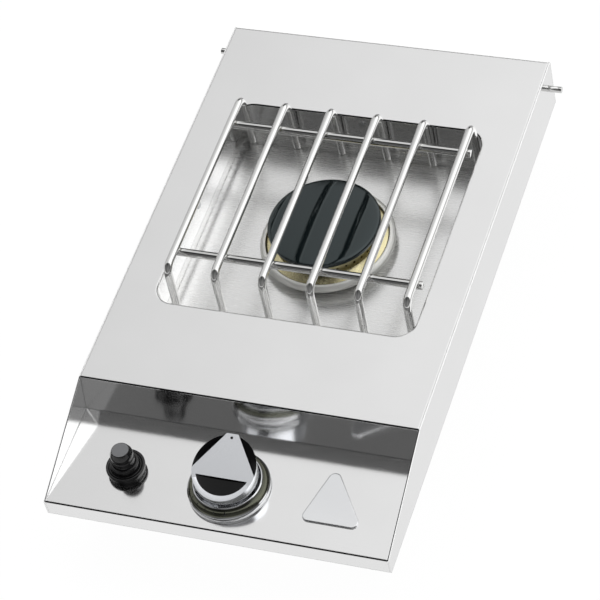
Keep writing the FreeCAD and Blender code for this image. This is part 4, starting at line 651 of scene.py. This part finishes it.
# The two scoops beside the nose run from a straight line on the top out to the rim.
side_lines = []
for side, arc_ids in ((1, np.arange(scoop_steps)), (-1, last - np.arange(scoop_steps))):
    t = np.linspace(0, 1, scoop_steps)
    line = flat(np.column_stack([(nose + (side_x - nose) * t) * side,
                                 nose_tip - (nose_tip + side_back) * t]))
    line[-1] = edge_top[arc_ids[-1]]
    line_start, dish_start = scoop(line, edge_top[arc_ids])
    lay([[arc_ids[0] + 2 * columns, dish_start, line_start]], SATIN)
    side_lines.append(line_start + np.arange(scoop_steps - 1))

# The front scoop is the same shape inside a satin border.
inner_angle = math.pi - math.acos(scoop_back / scoop_low)
inner_arc = np.linspace(inner_angle, 2 * math.pi - inner_angle, low_steps)
inner = flat(np.column_stack([scoop_wide * np.sin(inner_arc), scoop_low * np.cos(inner_arc)]))
inner_start = store(inner)
front_ids = 2 * columns + scoop_steps + front_steps - 2 + np.arange(low_steps)
pair = np.arange(low_steps - 1)
lay(np.stack([inner_start + pair, inner_start + pair + 1, front_ids[pair + 1], front_ids[pair]], -1),
    SATIN)
t = np.linspace(0, 1, low_steps)[:, None]
line_start, _ = scoop(inner[:1] * (1 - t) + inner[-1:] * t, inner)

# What is left of the sloping top is one face.
shoulder = 2 * columns + np.arange(scoop_steps - 1, scoop_steps + front_steps - 1)
other_shoulder = 2 * columns + last - np.arange(scoop_steps - 1, scoop_steps + front_steps - 1)
right_line, left_line = side_lines
outline = ([left_top, right_top] + list(right_line) + list(shoulder)
           + list(line_start + np.arange(low_steps)) + list(other_shoulder[::-1]) + list(left_line[::-1]))
lay([outline], SATIN)

# The underside is open, with a shallow hollow.
hollow, hollow_top = 25.0, 18.0
ring = np.column_stack([np.sin(whole), np.cos(whole)])
low_start = store(np.column_stack([ring * hollow, np.full(columns, underside)]))
high_start = store(np.column_stack([ring * hollow, np.full(columns, hollow_top)]))
around = np.arange(columns)
beside = (around + 1) % columns
lay(np.stack([around, low_start + around, low_start + beside, beside], -1), SATIN)
lay(np.stack([low_start + around, high_start + around, high_start + beside, low_start + beside], -1),
    SATIN)
lay([list(high_start + around)], SATIN)
knob = build("satin_knob", "knob", (np.concatenate(vertices) + control) * mm, knob_faces,
             [satin, gloss_black], knob_picks)
edges = knob.modifiers.new("edges", "BEVEL")
edges.width = 0.35 * mm
edges.segments = 3
edges.limit_method = "ANGLE"
edges.angle_limit = math.radians(32)
edges.harden_normals = True
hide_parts("knob")
dress(ink, "knob_dot")

# Igniter
# Glossy black moulded button, screw cap and clamp collar over the battery barrel; the button's
# top face is a matt grey.

igniter = (-100, -237, 76)
moulded = speckled("black_moulded_gloss", "#0A0A0B", "#111113", 0, 0.08, 0.16, 2.0, IOR=1.5)
worn = speckled("grey_matt_face", "#6B6C6E", "#747577", 0, 0.45, 0.55, 1.5)
grip = turned("igniter_clamp", "casing", [
    (11.06, 0, 0), (17, 0, 0), (17, 1.6, 0.4), (11.06, 1.6, 0)], igniter, moulded, 72)
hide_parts("igniter_collar")
cover = turned("igniter_screw_cap", "casing", [
    (11.06, 1.9, 0), (17, 1.9, 0.3), (17, 4.9, 0.2), (18.2, 5, 0.5), (18.2, 8.5, 1.2), (16, 8.5, 0.9),
    (14.6, 7.4, 0.7), (14, 8.2, 0.4), (13.2, 14.5, 1.2), (10.8, 14.5, 0.4), (10.8, 7.3, 0), (14, 7.3, 0),
    (14, 3.7, 0), (11.06, 3.7, 0)], igniter, moulded, 96)
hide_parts("igniter_cap")
push = turned("igniter_push_button", "igniter_button", [
    (0, 5.9, 0), (13.6, 5.9, 0), (13.6, 7.1, 0), (10.6, 7.1, 0), (10.6, 20, 0.5), (10.1, 20.8, 0.4),
    (10.1, 21.6, 0.4), (10.6, 22.4, 0.5), (10.6, 26, 1.6), (8.7, 30, 0.6), (8.2, 31, 0.4), (7.9, 31, 0),
    (7.9, 30.7, 0), (0, 30.7, 0)],
    igniter, moulded, 72)
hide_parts("igniter_button")
face = turned("igniter_button_face", "igniter_button", [
    (0, 30.72, 0), (7.88, 30.72, 0), (7.88, 31, 0.1), (0, 31, 0)], igniter, worn, 72)
dress(moulded, "igniter_body")

# Badge
# A bare satin aluminium plate, a triangle with rounded corners, on two posts with push-on nuts.

# The badge's faces that lean forward and up also get the painted dark reflection.
badge = brushed("satin_aluminium", "#EAEBED", "#F3F4F5", 0.12, 0.18, "x", width=0.3, length=12.0)
dress(badge, "badge_plate")
